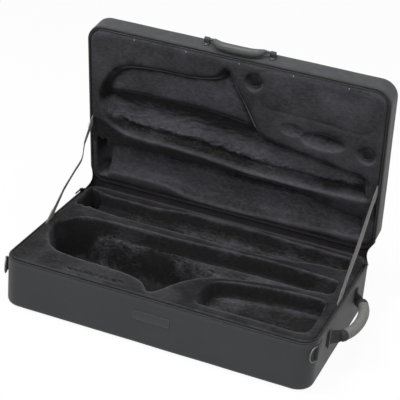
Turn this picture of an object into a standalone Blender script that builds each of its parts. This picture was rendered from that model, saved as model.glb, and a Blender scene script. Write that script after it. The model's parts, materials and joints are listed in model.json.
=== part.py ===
"""Soft-sided double saxophone case, standing open.

A rigid base and a rigid lid share a zip closure on three sides and a fabric hinge along the back.
Both halves hold moulded linings with one recess in the shape of an alto saxophone and one for a
straight soprano saxophone. Units are metres, +Z is up, +X runs along the front to the right, and
the front of the case faces -Y. The origin is the middle of the base's flat underside.

The lid and all it carries are laid out as if the case were shut, and the lid pivot turns them open.
"""
import math

import bmesh
import bpy
from mathutils import Matrix

# Whole case
CASE_LENGTH = 0.740
CASE_WIDTH = 0.432
BASE_HEIGHT = 0.118
LID_HEIGHT = 0.056
CORNER_RADIUS = 0.040
EDGE_RADIUS = 0.012
WALL = 0.006
SEAT_GAP = 0.0003
CUT_OVERRUN = 0.010
LID_OPEN_ANGLE = math.radians(82)
HINGE_SETBACK = 0.006

# Zip band between the two shells, measured for each half
BAND_HALF = 0.008
PIPING_RADIUS = 0.0018
TAPE_INSET = 0.0050
TAPE_THICKNESS = 0.0010
TEETH_WIDTH = 0.0022
TEETH_HEIGHT = 0.0024
TEETH_HALF_GAP = 0.0010
TAPE_END_SETBACK = 0.002

# Zip sliders and pulls
SLIDER_LENGTH = 0.014
SLIDER_HALF_HEIGHT = 0.0038
SLIDER_PLATE = 0.0011
SLIDER_WEB = 0.0008
SLIDER_CLEARANCE = 0.0003
EAR_THICKNESS = 0.0009
PULL_PIN_RADIUS = 0.0008
PULL_EYE_RADIUS = 0.0020
PULL_HOLE_RADIUS = 0.0012
PULL_LENGTH = 0.026
PULL_HEIGHT = 0.0050
PULL_THICKNESS = 0.0012

# Linings
FLOOR_PAD = 0.008
PAD_DROP = 0.002
PAD_INSET_ENDS = 0.0102
PAD_INSET_SIDES = 0.0072
PAD_ROUNDING = 0.004
LID_FLOOR_PAD = 0.014
BODY_BED_HEIGHT = 0.066
SOPRANO_BED_HEIGHT = 0.070
BED_SIDE_GAP = 0.0008
TRAY_DEPTH = 0.038
TRAY_CORNER = 0.012
TROUGH_DEPTH = 0.010
BODY_TROUGH_WIDTH = 0.060
SOPRANO_TROUGH_WIDTH = 0.076

# Stays
STAY_WIDTH = 0.020
STAY_THICKNESS = 0.0015
STAY_TUCK = 0.022
STAY_BOW = 0.012
STAY_STEPS = 10

# Hinge strip
STRIP_THICKNESS = 0.0012
STRIP_LAP = 0.022
STRIP_END_SETBACK = 0.006

# Label patch
LABEL_WIDTH = 0.088
LABEL_HEIGHT = 0.0225
LABEL_THICKNESS = 0.0012
LABEL_BORDER = 0.0025
LABEL_RECESS = 0.0004
LABEL_DROP = 0.043
LABEL_CORNER = 0.002

# Rings for a shoulder strap
RING_WIRE = 0.0018
RING_WIDTH = 0.040
RING_DEPTH = 0.026
RING_STAND_OFF = 0.0042
RING_DROP = 0.024
RING_CORNER_ANGLE = math.radians(20)
RING_TAB_WIDTH = 0.034
RING_TAB_THICKNESS = 0.0018
RING_TAB_LENGTH = 0.030
RING_EYE_CLEARANCE = 0.0003

# End handle on the right end of the base
END_HANDLE_DROP = 0.032
END_HANDLE_FRONT = -0.112
END_HANDLE_BACK = 0.090
END_HANDLE_REACH = 0.044
END_GRIP_RADIUS = 0.0125
END_GRIP_GROOVE = 0.0112
END_GRIP_RIBS = 22
END_TAB_WIDTH = 0.036
END_TAB_THICKNESS = 0.003
END_TAB_FOOT = 0.022
ANCHOR_WIDTH = 0.010
ANCHOR_HEIGHT = 0.046
ANCHOR_THICKNESS = 0.0030

# Carry handle on the front wall of the lid
CARRY_HALF_SPAN = 0.076
CARRY_PIVOT_HEIGHT = 0.036
CARRY_STAND_OFF = 0.0125
CARRY_DROP = 0.020
CARRY_GRIP_RADIUS = 0.0100
CARRY_PIN_RADIUS = 0.0030
CARRY_PIN_CLEARANCE = 0.0003
BRACKET_WIDTH = 0.018
BRACKET_HEIGHT = 0.016
BRACKET_PLATE = 0.0020
BRACKET_FLANGE = 0.009
RIVET_RADIUS = 0.0028
RIVET_HEIGHT = 0.0012

# Tacks and pad buttons on the lid
TACK_SPACING = 0.130
TACK_OFFSET = 0.012
TACK_COUNT = 5
TACK_RADIUS = 0.0014
TACK_HEIGHT = 0.0008
BUTTON_DIMPLE_RADIUS = 0.022
BUTTON_DIMPLE_DEPTH = 0.010
BUTTON_RADIUS = 0.009
BUTTON_HEIGHT = 0.004
OVAL_DIMPLE_LENGTH = 0.108
OVAL_DIMPLE_WIDTH = 0.046
OVAL_DIMPLE_DEPTH = 0.010

# Outlines of the recesses seen from above with the case shut. Each pair is a share of the case
# length from the left end and a share of the case width from the front.
BASE_ALTO_BOW_SHARES = [
    (0.085, 0.600), (0.055, 0.540), (0.040, 0.460), (0.045, 0.380), (0.062, 0.310),
]
BASE_ALTO_BELL_SHARES = [
    (0.062, 0.310), (0.090, 0.245), (0.130, 0.205), (0.200, 0.188), (0.300, 0.182),
    (0.370, 0.170), (0.420, 0.145), (0.447, 0.105), (0.463, 0.070),
]
BASE_ALTO_MOUTH_SHARES = [
    (0.463, 0.070), (0.480, 0.078), (0.495, 0.115), (0.515, 0.190), (0.545, 0.270),
    (0.570, 0.325), (0.592, 0.352),
]
BASE_ALTO_NECK_SHARES = [
    (0.592, 0.352), (0.640, 0.390), (0.700, 0.425), (0.800, 0.468), (0.900, 0.500), (0.955, 0.515),
]
BASE_ALTO_BACK_SHARES = [
    (0.955, 0.655), (0.900, 0.672), (0.800, 0.680), (0.700, 0.680), (0.600, 0.672),
    (0.500, 0.660), (0.400, 0.650), (0.300, 0.645), (0.200, 0.642), (0.130, 0.630),
]
LID_ALTO_BOW_SHARES = [
    (0.085, 0.590), (0.055, 0.530), (0.043, 0.450), (0.047, 0.380), (0.062, 0.310),
]
LID_ALTO_BELL_SHARES = [
    (0.062, 0.310), (0.085, 0.255), (0.120, 0.210), (0.180, 0.188), (0.260, 0.178),
    (0.350, 0.174), (0.420, 0.155), (0.450, 0.130), (0.470, 0.080),
]
LID_ALTO_MOUTH_SHARES = [
    (0.470, 0.080), (0.488, 0.092), (0.500, 0.130), (0.520, 0.200), (0.550, 0.280),
    (0.575, 0.355), (0.592, 0.415),
]
LID_ALTO_NECK_SHARES = [
    (0.592, 0.415), (0.620, 0.445), (0.700, 0.475), (0.800, 0.502), (0.900, 0.530), (0.955, 0.552),
]
LID_ALTO_BACK_SHARES = [
    (0.955, 0.682), (0.850, 0.692), (0.750, 0.692), (0.650, 0.688), (0.550, 0.685),
    (0.480, 0.670), (0.400, 0.656), (0.300, 0.647), (0.180, 0.644), (0.130, 0.634),
]
SOPRANO_FRONT_SHARES = [
    (0.130, 0.720), (0.200, 0.712), (0.400, 0.714), (0.600, 0.716), (0.700, 0.720),
    (0.780, 0.738), (0.840, 0.768), (0.900, 0.784), (0.955, 0.792),
]
SOPRANO_BELL_SHARES = [
    (0.030, 0.745), (0.045, 0.735), (0.075, 0.738), (0.100, 0.728), (0.130, 0.720),
]
SOPRANO_BACK_SHARES = [
    (0.955, 0.930), (0.840, 0.940), (0.700, 0.950), (0.600, 0.962), (0.450, 0.962),
    (0.370, 0.956), (0.310, 0.930), (0.260, 0.916), (0.130, 0.914), (0.075, 0.924), (0.030, 0.945),
]
BED_FRONT_SHARES = [(0.150, 0.575), (0.300, 0.568), (0.450, 0.545), (0.600, 0.490), (0.700, 0.462)]
END_LINE_SHARE = 0.955
RIDGE_START_SHARE = 0.130
SLOT_LINE_SHARE = 0.030
SLOT_BACK_SHARE = 0.945
BOW_LINE_SHARE = 0.310
NECK_LINE_SHARE = 0.515
LID_NECK_LINE_SHARE = 0.552
REAR_LINE_SHARE = 0.930
TRAY_LINE_SHARE = 0.592
TRAY_SPAN_SHARES = (0.614, 0.944)
TRAY_DEPTH_SHARES = (0.085, 0.285)
OUTSIDE_SHARE = 0.100
BODY_TROUGH_SHARE = 0.588
SOPRANO_TROUGH_SHARE = 0.838
BUTTON_PLACE_SHARES = [(0.567, 0.125), (0.943, 0.405)]
OVAL_PLACE_SHARES = (0.800, 0.385)
BASE_STAY_SHARE = 0.480
LID_STAY_SHARE = 0.600

# Smoothness and welding
CORNER_STEPS = 6
OUTLINE_STEPS = 2
TROUGH_SIDES = 48
TUBE_RESOLUTION = 2
WELD_DISTANCE = 1e-6

# Levels that follow from the sizes above
HALF_LENGTH = CASE_LENGTH / 2
HALF_WIDTH = CASE_WIDTH / 2
MEETING_HEIGHT = BASE_HEIGHT + BAND_HALF
LID_RIM = MEETING_HEIGHT + BAND_HALF
LID_TOP = LID_RIM + LID_HEIGHT
HINGE_Y = HALF_WIDTH + HINGE_SETBACK
RING_HEIGHT = BASE_HEIGHT - RING_DROP
END_HANDLE_HEIGHT = BASE_HEIGHT - END_HANDLE_DROP
LABEL_CENTRE_HEIGHT = BASE_HEIGHT - LABEL_DROP
PAD_TOP = MEETING_HEIGHT - PAD_DROP
TRAY_FLOOR = PAD_TOP - TRAY_DEPTH
LID_PAD_FACE = MEETING_HEIGHT + PAD_DROP
FLOOR_TOP = WALL + SEAT_GAP + FLOOR_PAD
LID_FLOOR_FACE = LID_TOP - WALL - SEAT_GAP - LID_FLOOR_PAD


def clear_scene():
    """Start from an empty scene."""
    for obj in list(bpy.data.objects):
        bpy.data.objects.remove(obj, do_unlink=True)


def new_collection(name):
    """Make a collection and link it to the scene."""
    collection = bpy.data.collections.new(name)
    bpy.context.scene.collection.children.link(collection)
    return collection


def material(name, colour, roughness, metallic=0.0):
    """Make a Principled material."""
    made = bpy.data.materials.new(name)
    made.use_nodes = True
    shader = made.node_tree.nodes["Principled BSDF"]
    shader.inputs["Base Color"].default_value = (*colour, 1.0)
    shader.inputs["Roughness"].default_value = roughness
    shader.inputs["Metallic"].default_value = metallic
    return made


def point(length_share, width_share):
    """Turn shares of the case's length and width into a place in its plan."""
    return ((length_share - 0.5) * CASE_LENGTH, (width_share - 0.5) * CASE_WIDTH)


def smooth(shares, steps=OUTLINE_STEPS):
    """Run a smooth line through a list of places given as shares."""
    points = [point(*pair) for pair in shares]
    line = []
    for index in range(len(points) - 1):
        before = points[max(index - 1, 0)]
        start = points[index]
        end = points[index + 1]
        after = points[min(index + 2, len(points) - 1)]
        for step in range(steps):
            t = step / steps
            line.append(tuple(spline_value(before[k], start[k], end[k], after[k], t) for k in (0, 1)))
    line.append(points[-1])
    return line


def spline_value(before, start, end, after, t):
    """Give one coordinate of a Catmull-Rom curve between start and end."""
    slope_in = (end - before) / 2
    slope_out = (after - start) / 2
    return (
        (2 * t**3 - 3 * t**2 + 1) * start
        + (t**3 - 2 * t**2 + t) * slope_in
        + (3 * t**2 - 2 * t**3) * end
        + (t**3 - t**2) * slope_out
    )


def rounded_rectangle(half_x, half_y, radius, steps=CORNER_STEPS):
    """Give the points of a rectangle with round corners, counter-clockwise."""
    points = []
    for quarter, (side_x, side_y) in enumerate([(1, -1), (1, 1), (-1, 1), (-1, -1)]):
        for step in range(steps + 1):
            angle = math.radians(90) * (quarter - 1 + step / steps)
            x = side_x * (half_x - radius) + radius * math.cos(angle)
            y = side_y * (half_y - radius) + radius * math.sin(angle)
            points.append((x, y))
    return points


def circle(x, y, radius, steps=16):
    """Give the points of a circle."""
    turn = math.tau / steps
    return [(x + radius * math.cos(turn * n), y + radius * math.sin(turn * n)) for n in range(steps)]


def three_side_line(inset, end_y):
    """Follow the case's outline along its left end, front and right end, stopping at end_y."""
    half_x = HALF_LENGTH - inset
    half_y = HALF_WIDTH - inset
    radius = CORNER_RADIUS - inset
    points = [(-half_x, end_y)]
    for side, first in ((-1, math.radians(180)), (1, math.radians(270))):
        for step in range(CORNER_STEPS + 1):
            angle = first + math.radians(90) * step / CORNER_STEPS
            x = side * (half_x - radius) + radius * math.cos(angle)
            y = -half_y + radius + radius * math.sin(angle)
            points.append((x, y))
    points.append((half_x, end_y))
    return points


def mesh_of_curve(obj):
    """Turn a curve object into a plain mesh with welded caps, and drop the curve."""
    depsgraph = bpy.context.evaluated_depsgraph_get()
    mesh = bpy.data.meshes.new_from_object(obj.evaluated_get(depsgraph))
    work = bmesh.new()
    work.from_mesh(mesh)
    bmesh.ops.remove_doubles(work, verts=work.verts, dist=WELD_DISTANCE)
    bmesh.ops.recalc_face_normals(work, faces=work.faces)
    work.to_mesh(mesh)
    work.free()
    bpy.data.objects.remove(obj, do_unlink=True)
    return mesh


def slab_mesh(name, loops, thickness):
    """Make a flat slab from closed outlines, its underside at zero. Later outlines are holes."""
    curve = bpy.data.curves.new(name, "CURVE")
    curve.dimensions = "2D"
    curve.fill_mode = "BOTH"
    curve.extrude = thickness / 2
    for loop in loops:
        spline = curve.splines.new("POLY")
        spline.points.add(len(loop) - 1)
        for place, (x, y) in zip(spline.points, loop):
            place.co = (x, y, 0.0, 1.0)
        spline.use_cyclic_u = True
    obj = bpy.data.objects.new(name, curve)
    bpy.context.scene.collection.objects.link(obj)
    mesh = mesh_of_curve(obj)
    mesh.transform(Matrix.Translation((0.0, 0.0, thickness / 2)))
    return mesh


def tube_mesh(name, points, radius, radii=None, closed=False, resolution=TUBE_RESOLUTION):
    """Make a round tube along points. radii holds each point's own radius."""
    curve = bpy.data.curves.new(name, "CURVE")
    curve.dimensions = "3D"
    curve.bevel_depth = radius
    curve.bevel_resolution = resolution
    curve.use_fill_caps = not closed
    spline = curve.splines.new("POLY")
    spline.points.add(len(points) - 1)
    for index, (place, (x, y, z)) in enumerate(zip(spline.points, points)):
        place.co = (x, y, z, 1.0)
        place.radius = radii[index] / radius if radii else 1.0
    spline.use_cyclic_u = closed
    obj = bpy.data.objects.new(name, curve)
    bpy.context.scene.collection.objects.link(obj)
    return mesh_of_curve(obj)


def box_mesh(name, size_x, size_y, size_z, rounding=0.0, segments=2):
    """Make a box around its own centre, with rounded edges where asked."""
    work = bmesh.new()
    bmesh.ops.create_cube(work, size=1.0)
    bmesh.ops.scale(work, verts=work.verts, vec=(size_x, size_y, size_z))
    if rounding:
        bmesh.ops.bevel(
            work, geom=work.edges[:], offset=rounding, segments=segments, profile=0.5, affect="EDGES"
        )
    mesh = bpy.data.meshes.new(name)
    work.to_mesh(mesh)
    work.free()
    return mesh


def shade(mesh, angle=35):
    """Shade round faces smooth and keep sharp edges sharp."""
    mesh.shade_smooth()
    mesh.set_sharp_from_angle(angle=math.radians(angle))


class Case:
    """Collects the pieces of the case, their finishes and the pivots that carry them."""

    def __init__(self):
        self.parts = new_collection("double_saxophone_case")
        self.cutters = new_collection("cutters")
        self.pivots = {}
        self.finishes = {
            "shell_nylon": material("shell_nylon", (0.052, 0.053, 0.056), 0.78),
            "piping": material("piping", (0.012, 0.012, 0.013), 0.60),
            "zip_tape": material("zip_tape", (0.020, 0.020, 0.021), 0.85),
            "zip_teeth": material("zip_teeth", (0.016, 0.016, 0.017), 0.35),
            "zip_metal": material("zip_metal", (0.060, 0.058, 0.056), 0.32, 1.0),
            "plush": material("plush", (0.016, 0.015, 0.018), 0.95),
            "webbing": material("webbing", (0.110, 0.106, 0.100), 0.80),
            "dark_webbing": material("dark_webbing", (0.030, 0.030, 0.031), 0.80),
            "grip": material("grip", (0.150, 0.152, 0.140), 0.70),
            "ring_metal": material("ring_metal", (0.230, 0.225, 0.215), 0.28, 1.0),
            "tack_metal": material("tack_metal", (0.620, 0.610, 0.590), 0.30, 1.0),
            "label": material("label", (0.046, 0.047, 0.050), 0.65),
        }

    def pivot(self, name, place, turn=(0.0, 0.0, 0.0), parent=None):
        """Add an empty on a joint's axis."""
        empty = bpy.data.objects.new(name, None)
        empty.empty_display_size = CORNER_RADIUS
        self.parts.objects.link(empty)
        self.pivots[name] = (empty, place)
        empty.location = place
        if parent:
            carrier, carrier_place = self.pivots[parent]
            empty.parent = carrier
            empty.location = [a - b for a, b in zip(place, carrier_place)]
        empty.rotation_euler = turn
        return empty

    def add(self, name, mesh, finish, place=(0.0, 0.0, 0.0), turn=(0.0, 0.0, 0.0), parent=None):
        """Add a piece. Its place is given as if the case were shut."""
        mesh.name = name
        mesh.materials.clear()
        mesh.materials.append(self.finishes[finish])
        shade(mesh)
        obj = bpy.data.objects.new(name, mesh)
        self.parts.objects.link(obj)
        obj.location = place
        obj.rotation_euler = turn
        if parent:
            carrier, carrier_place = self.pivots[parent]
            obj.parent = carrier
            obj.location = [a - b for a, b in zip(place, carrier_place)]
        return obj

    def combine(self, mesh, other, operation):
        """Join, cut or intersect one mesh with another, both in the same coordinates."""
        first = bpy.data.objects.new("work", mesh)
        second = bpy.data.objects.new("cutter", other)
        second.hide_render = True
        second.display_type = "WIRE"
        self.parts.objects.link(first)
        self.cutters.objects.link(second)
        modifier = first.modifiers.new(operation.lower(), "BOOLEAN")
        modifier.object = second
        modifier.operation = operation
        depsgraph = bpy.context.evaluated_depsgraph_get()
        result = bpy.data.meshes.new_from_object(first.evaluated_get(depsgraph))
        bpy.data.objects.remove(first, do_unlink=True)
        bpy.data.objects.remove(second, do_unlink=True)
        work = bmesh.new()
        work.from_mesh(result)
        bmesh.ops.dissolve_limit(
            work, angle_limit=math.radians(1), verts=work.verts, edges=work.edges
        )
        work.to_mesh(result)
        work.free()
        return result


def moved(mesh, x=0.0, y=0.0, z=0.0):
    """Shift a mesh."""
    mesh.transform(Matrix.Translation((x, y, z)))
    return mesh


def turned(mesh, axis, angle):
    """Turn a mesh about one of the main axes."""
    mesh.transform(Matrix.Rotation(angle, 4, axis))
    return mesh


def shell_mesh(name, height):
    """Make the outer skin of one half: a tray with round corners and a rounded closed side."""
    work = bmesh.new()
    bmesh.ops.create_cube(work, size=1.0)
    bmesh.ops.scale(work, verts=work.verts, vec=(CASE_LENGTH, CASE_WIDTH, height))
    bmesh.ops.translate(work, verts=work.verts, vec=(0.0, 0.0, height / 2))
    top = [face for face in work.faces if face.normal.z > 0.5]
    bmesh.ops.delete(work, geom=top, context="FACES_ONLY")
    upright = [edge for edge in work.edges if abs(edge.verts[0].co.z - edge.verts[1].co.z) > height / 2]
    bmesh.ops.bevel(
        work, geom=upright, offset=CORNER_RADIUS, segments=CORNER_STEPS, profile=0.5, affect="EDGES"
    )
    low = [edge for edge in work.edges if max(v.co.z for v in edge.verts) < height / 2]
    low = [edge for edge in low if len(edge.link_faces) == 2]
    bmesh.ops.bevel(work, geom=low, offset=EDGE_RADIUS, segments=3, profile=0.5, affect="EDGES")
    mesh = bpy.data.meshes.new(name)
    work.to_mesh(mesh)
    work.free()
    return mesh


def add_shells(case):
    """Make the two rigid trays."""
    trays = (("base_shell", BASE_HEIGHT, 0.0, 0.0, None), ("lid_shell", LID_HEIGHT, LID_TOP, math.pi, "lid"))
    for name, height, level, flip, parent in trays:
        mesh = turned(shell_mesh(name, height), "X", flip)
        shell = case.add(name, mesh, "shell_nylon", place=(0.0, 0.0, level), parent=parent)
        thickness = shell.modifiers.new("wall", "SOLIDIFY")
        thickness.thickness = WALL
        thickness.offset = -1.0


def add_zip_band(case):
    """Make the piping, zip tape and zip teeth along the rim of each half."""
    end_y = HALF_WIDTH - CORNER_RADIUS - TAPE_END_SETBACK
    ring = rounded_rectangle(
        HALF_LENGTH - PIPING_RADIUS - SEAT_GAP,
        HALF_WIDTH - PIPING_RADIUS - SEAT_GAP,
        CORNER_RADIUS - PIPING_RADIUS - SEAT_GAP,
    )
    tape = three_side_line(TAPE_INSET, end_y)
    tape += three_side_line(TAPE_INSET + TAPE_THICKNESS, end_y)[::-1]
    teeth_inset = TAPE_INSET + TAPE_THICKNESS / 2 - TEETH_WIDTH / 2
    teeth = three_side_line(teeth_inset, end_y)
    teeth += three_side_line(teeth_inset + TEETH_WIDTH, end_y)[::-1]
    tape_height = BAND_HALF - TEETH_HALF_GAP - TEETH_HEIGHT - 2 * SEAT_GAP
    halves = (("base", BASE_HEIGHT, 1, None), ("lid", LID_RIM, -1, "lid"))
    for half, rim, up, parent in halves:
        level = rim + up * (SEAT_GAP + PIPING_RADIUS)
        piping = tube_mesh("piping", [(x, y, 0.0) for x, y in ring], PIPING_RADIUS, closed=True)
        case.add(f"{half}_piping", piping, "piping", place=(0.0, 0.0, level), parent=parent)
        low = rim + up * SEAT_GAP if up > 0 else rim - SEAT_GAP - tape_height
        strip = slab_mesh("tape", [tape], tape_height)
        case.add(f"{half}_zip_tape", strip, "zip_tape", place=(0.0, 0.0, low), parent=parent)
        low = MEETING_HEIGHT + (-TEETH_HALF_GAP - TEETH_HEIGHT if up > 0 else TEETH_HALF_GAP)
        row = slab_mesh("teeth", [teeth], TEETH_HEIGHT)
        case.add(f"{half}_zip_teeth", row, "zip_teeth", place=(0.0, 0.0, low), parent=parent)


def floor_blank(low, high):
    """Make the pad that covers a shell's flat side, inside its rounded edge."""
    inset = EDGE_RADIUS + SEAT_GAP
    outline = rounded_rectangle(HALF_LENGTH - inset, HALF_WIDTH - inset, CORNER_RADIUS - inset)
    return moved(slab_mesh("blank", [outline], high - low), z=low)


def pad_blank(low, high):
    """Make the solid block that fills one half of the case between two levels."""
    half_x = HALF_LENGTH - PAD_INSET_ENDS
    half_y = HALF_WIDTH - PAD_INSET_SIDES
    outline = rounded_rectangle(half_x, half_y, CORNER_RADIUS - PAD_INSET_SIDES)
    return moved(slab_mesh("blank", [outline], high - low), z=low)


def pad(case, zone, low, high):
    """Cut one lining pad out of the half's blank along its own zone in the plan."""
    cutter = moved(slab_mesh("zone", [zone], high - low + 2 * CUT_OVERRUN), z=low - CUT_OVERRUN)
    return case.combine(pad_blank(low, high), cutter, "INTERSECT")


def add_pad(case, name, mesh, parent=None):
    """Add a lining pad with its edges rounded."""
    place = (0.0, 0.0, 0.0)
    obj = case.add(name, mesh, "plush", place=place, parent=parent)
    rounding = obj.modifiers.new("rounding", "BEVEL")
    rounding.width = PAD_ROUNDING
    rounding.segments = 2
    rounding.limit_method = "ANGLE"
    rounding.angle_limit = math.radians(50)
    return obj


def edge_point(length_share, width_share, shift_x=0.0, shift_y=0.0):
    """Give a place in the plan, shifted by a length."""
    x, y = point(length_share, width_share)
    return (x + shift_x, y + shift_y)


def zones(bow, bell, mouth, neck, back, neck_line):
    """Divide one half's plan into the zones of its lining pads."""
    gap = SEAT_GAP / 2
    low = -OUTSIDE_SHARE
    high = 1 + OUTSIDE_SHARE
    peak = bell[-1][0]
    tray = TRAY_LINE_SHARE
    end = END_LINE_SHARE
    ridge = RIDGE_START_SHARE
    front = [edge_point(low, low), edge_point(peak, low, -gap), edge_point(*bell[-1], -gap)]
    front += smooth(bell)[-2::-1][:-1]
    front += [edge_point(*bell[0], 0.0, -gap), edge_point(low, BOW_LINE_SHARE, 0.0, -gap)]
    rest = [edge_point(peak, low, gap), edge_point(tray, low, -gap), edge_point(*mouth[-1], -gap)]
    rest += smooth(mouth)[-2:0:-1] + [edge_point(*mouth[0], gap)]
    side = [edge_point(tray, low, gap), edge_point(high, low), edge_point(high, neck_line, 0.0, -gap)]
    side += [edge_point(end, neck_line, 0.0, -gap)]
    side += smooth(neck)[-2:0:-1] + [edge_point(*neck[0], gap)]
    left = [edge_point(low, BOW_LINE_SHARE, 0.0, gap), edge_point(*bow[-1], 0.0, gap)]
    left += smooth([back[-1]] + bow)[-2:0:-1] + [edge_point(*back[-1], -gap)]
    left += [edge_point(*SOPRANO_BELL_SHARES[-1], -gap)] + smooth(SOPRANO_BELL_SHARES)[-2::-1]
    left += [edge_point(SLOT_LINE_SHARE, SLOT_BACK_SHARE, 0.0, -gap)]
    left += [edge_point(low, SLOT_BACK_SHARE, 0.0, -gap)]
    middle = [edge_point(*back[-1], gap)] + smooth(back)[-2::-1][:-1]
    middle += [edge_point(end, back[0][1], -gap), edge_point(*SOPRANO_FRONT_SHARES[-1], -gap)]
    middle += smooth(SOPRANO_FRONT_SHARES)[-2:0:-1] + [edge_point(*SOPRANO_FRONT_SHARES[0], gap)]
    right = [edge_point(end, neck_line, gap, gap), edge_point(high, neck_line, 0.0, gap)]
    right += [edge_point(high, REAR_LINE_SHARE, 0.0, -gap)]
    right += [edge_point(end, REAR_LINE_SHARE, gap, -gap)]
    rear = smooth(SOPRANO_BACK_SHARES)[::-1]
    rear = [edge_point(low, SLOT_BACK_SHARE, 0.0, gap), edge_point(*SOPRANO_BACK_SHARES[-1], 0.0, gap)] + rear[1:]
    rear[-1] = edge_point(end, REAR_LINE_SHARE, 0.0, gap)
    rear += [edge_point(high, REAR_LINE_SHARE, 0.0, gap), edge_point(high, high), edge_point(low, high)]
    return {
        "front": front, "bell": rest, "side": side,
        "left": left, "centre": middle, "right": right, "rear": rear,
    }


def add_base_lining(case):
    """Make the base's lining: pads round the two instrument recesses, beds and the tray."""
    floor = floor_blank(WALL + SEAT_GAP, FLOOR_TOP)
    case.add("base_floor_pad", floor, "plush")
    low = FLOOR_TOP + SEAT_GAP
    plan = zones(
        BASE_ALTO_BOW_SHARES, BASE_ALTO_BELL_SHARES, BASE_ALTO_MOUTH_SHARES,
        BASE_ALTO_NECK_SHARES, BASE_ALTO_BACK_SHARES, NECK_LINE_SHARE,
    )
    names = {
        "front": "base_front_pad", "bell": "base_bell_pad", "left": "base_left_pad",
        "centre": "base_centre_ridge", "right": "base_right_pad", "rear": "base_rear_pad",
    }
    for zone, name in names.items():
        add_pad(case, name, pad(case, plan[zone], low, PAD_TOP))
    left, near = point(TRAY_SPAN_SHARES[0], TRAY_DEPTH_SHARES[0])
    right, far = point(TRAY_SPAN_SHARES[1], TRAY_DEPTH_SHARES[1])
    hollow_line = rounded_rectangle((right - left) / 2, (far - near) / 2, TRAY_CORNER)
    depth = PAD_TOP - TRAY_FLOOR + CUT_OVERRUN
    hollow = moved(slab_mesh("hollow", [hollow_line], depth), (left + right) / 2, (near + far) / 2, TRAY_FLOOR)
    tray = case.combine(pad(case, plan["side"], low, PAD_TOP), hollow, "DIFFERENCE")
    add_pad(case, "accessory_tray", tray)
    add_beds(case, low)


def add_beds(case, low):
    """Make the raised beds with round troughs that the instruments' bodies lie on."""
    gap = BED_SIDE_GAP
    neck = smooth(BASE_ALTO_NECK_SHARES)[3 * OUTLINE_STEPS:]
    front = smooth(BED_FRONT_SHARES) + [(x, y + gap) for x, y in neck]
    back = [(x, y - gap) for x, y in smooth(BASE_ALTO_BACK_SHARES)[:9 * OUTLINE_STEPS]]
    line = front + back
    line[len(front) - 1] = (line[len(front) - 1][0] - gap, line[len(front) - 1][1])
    line[len(front)] = (line[len(front)][0] - gap, line[len(front)][1])
    body_bed = moved(slab_mesh("bed", [line], BODY_BED_HEIGHT), z=low)
    axis_y = point(0.0, BODY_TROUGH_SHARE)[1]
    round_cut = trough(axis_y, low + BODY_BED_HEIGHT, BODY_TROUGH_WIDTH)
    case.add("base_alto_bed", case.combine(body_bed, round_cut, "DIFFERENCE"), "plush")
    front = smooth(SOPRANO_BELL_SHARES)[2 * OUTLINE_STEPS:-1] + smooth(SOPRANO_FRONT_SHARES)
    front = [(x, y + gap) for x, y in front]
    back = [(x, y - gap) for x, y in smooth(SOPRANO_BACK_SHARES)[:-OUTLINE_STEPS]]
    line = front + back
    line[len(front) - 1] = (line[len(front) - 1][0] - gap, line[len(front) - 1][1])
    line[len(front)] = (line[len(front)][0] - gap, line[len(front)][1])
    soprano_bed = moved(slab_mesh("bed", [line], SOPRANO_BED_HEIGHT), z=low)
    axis_y = point(0.0, SOPRANO_TROUGH_SHARE)[1]
    round_cut = trough(axis_y, low + SOPRANO_BED_HEIGHT, SOPRANO_TROUGH_WIDTH)
    case.add("base_soprano_bed", case.combine(soprano_bed, round_cut, "DIFFERENCE"), "plush")


def trough(axis_y, level, width):
    """Make the cutter for a round trough along a bed, from its width and the usual depth."""
    radius = (width**2 / 4 + TROUGH_DEPTH**2) / (2 * TROUGH_DEPTH)
    work = bmesh.new()
    bmesh.ops.create_cone(
        work, cap_ends=True, segments=TROUGH_SIDES, radius1=radius, radius2=radius, depth=2 * CASE_LENGTH
    )
    mesh = bpy.data.meshes.new("trough")
    work.to_mesh(mesh)
    work.free()
    turned(mesh, "Y", math.radians(90))
    return moved(mesh, y=axis_y, z=level + radius - TROUGH_DEPTH)


def dimple(radius_x, radius_y, depth, x, y):
    """Make a bowl-shaped cutter that dips into the lid's lining from its face."""
    work = bmesh.new()
    bmesh.ops.create_uvsphere(work, u_segments=20, v_segments=10, radius=1.0)
    bmesh.ops.scale(work, verts=work.verts, vec=(radius_x, radius_y, depth))
    bmesh.ops.translate(work, verts=work.verts, vec=(x, y, LID_PAD_FACE))
    mesh = bpy.data.meshes.new("dimple")
    work.to_mesh(mesh)
    work.free()
    return mesh


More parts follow.
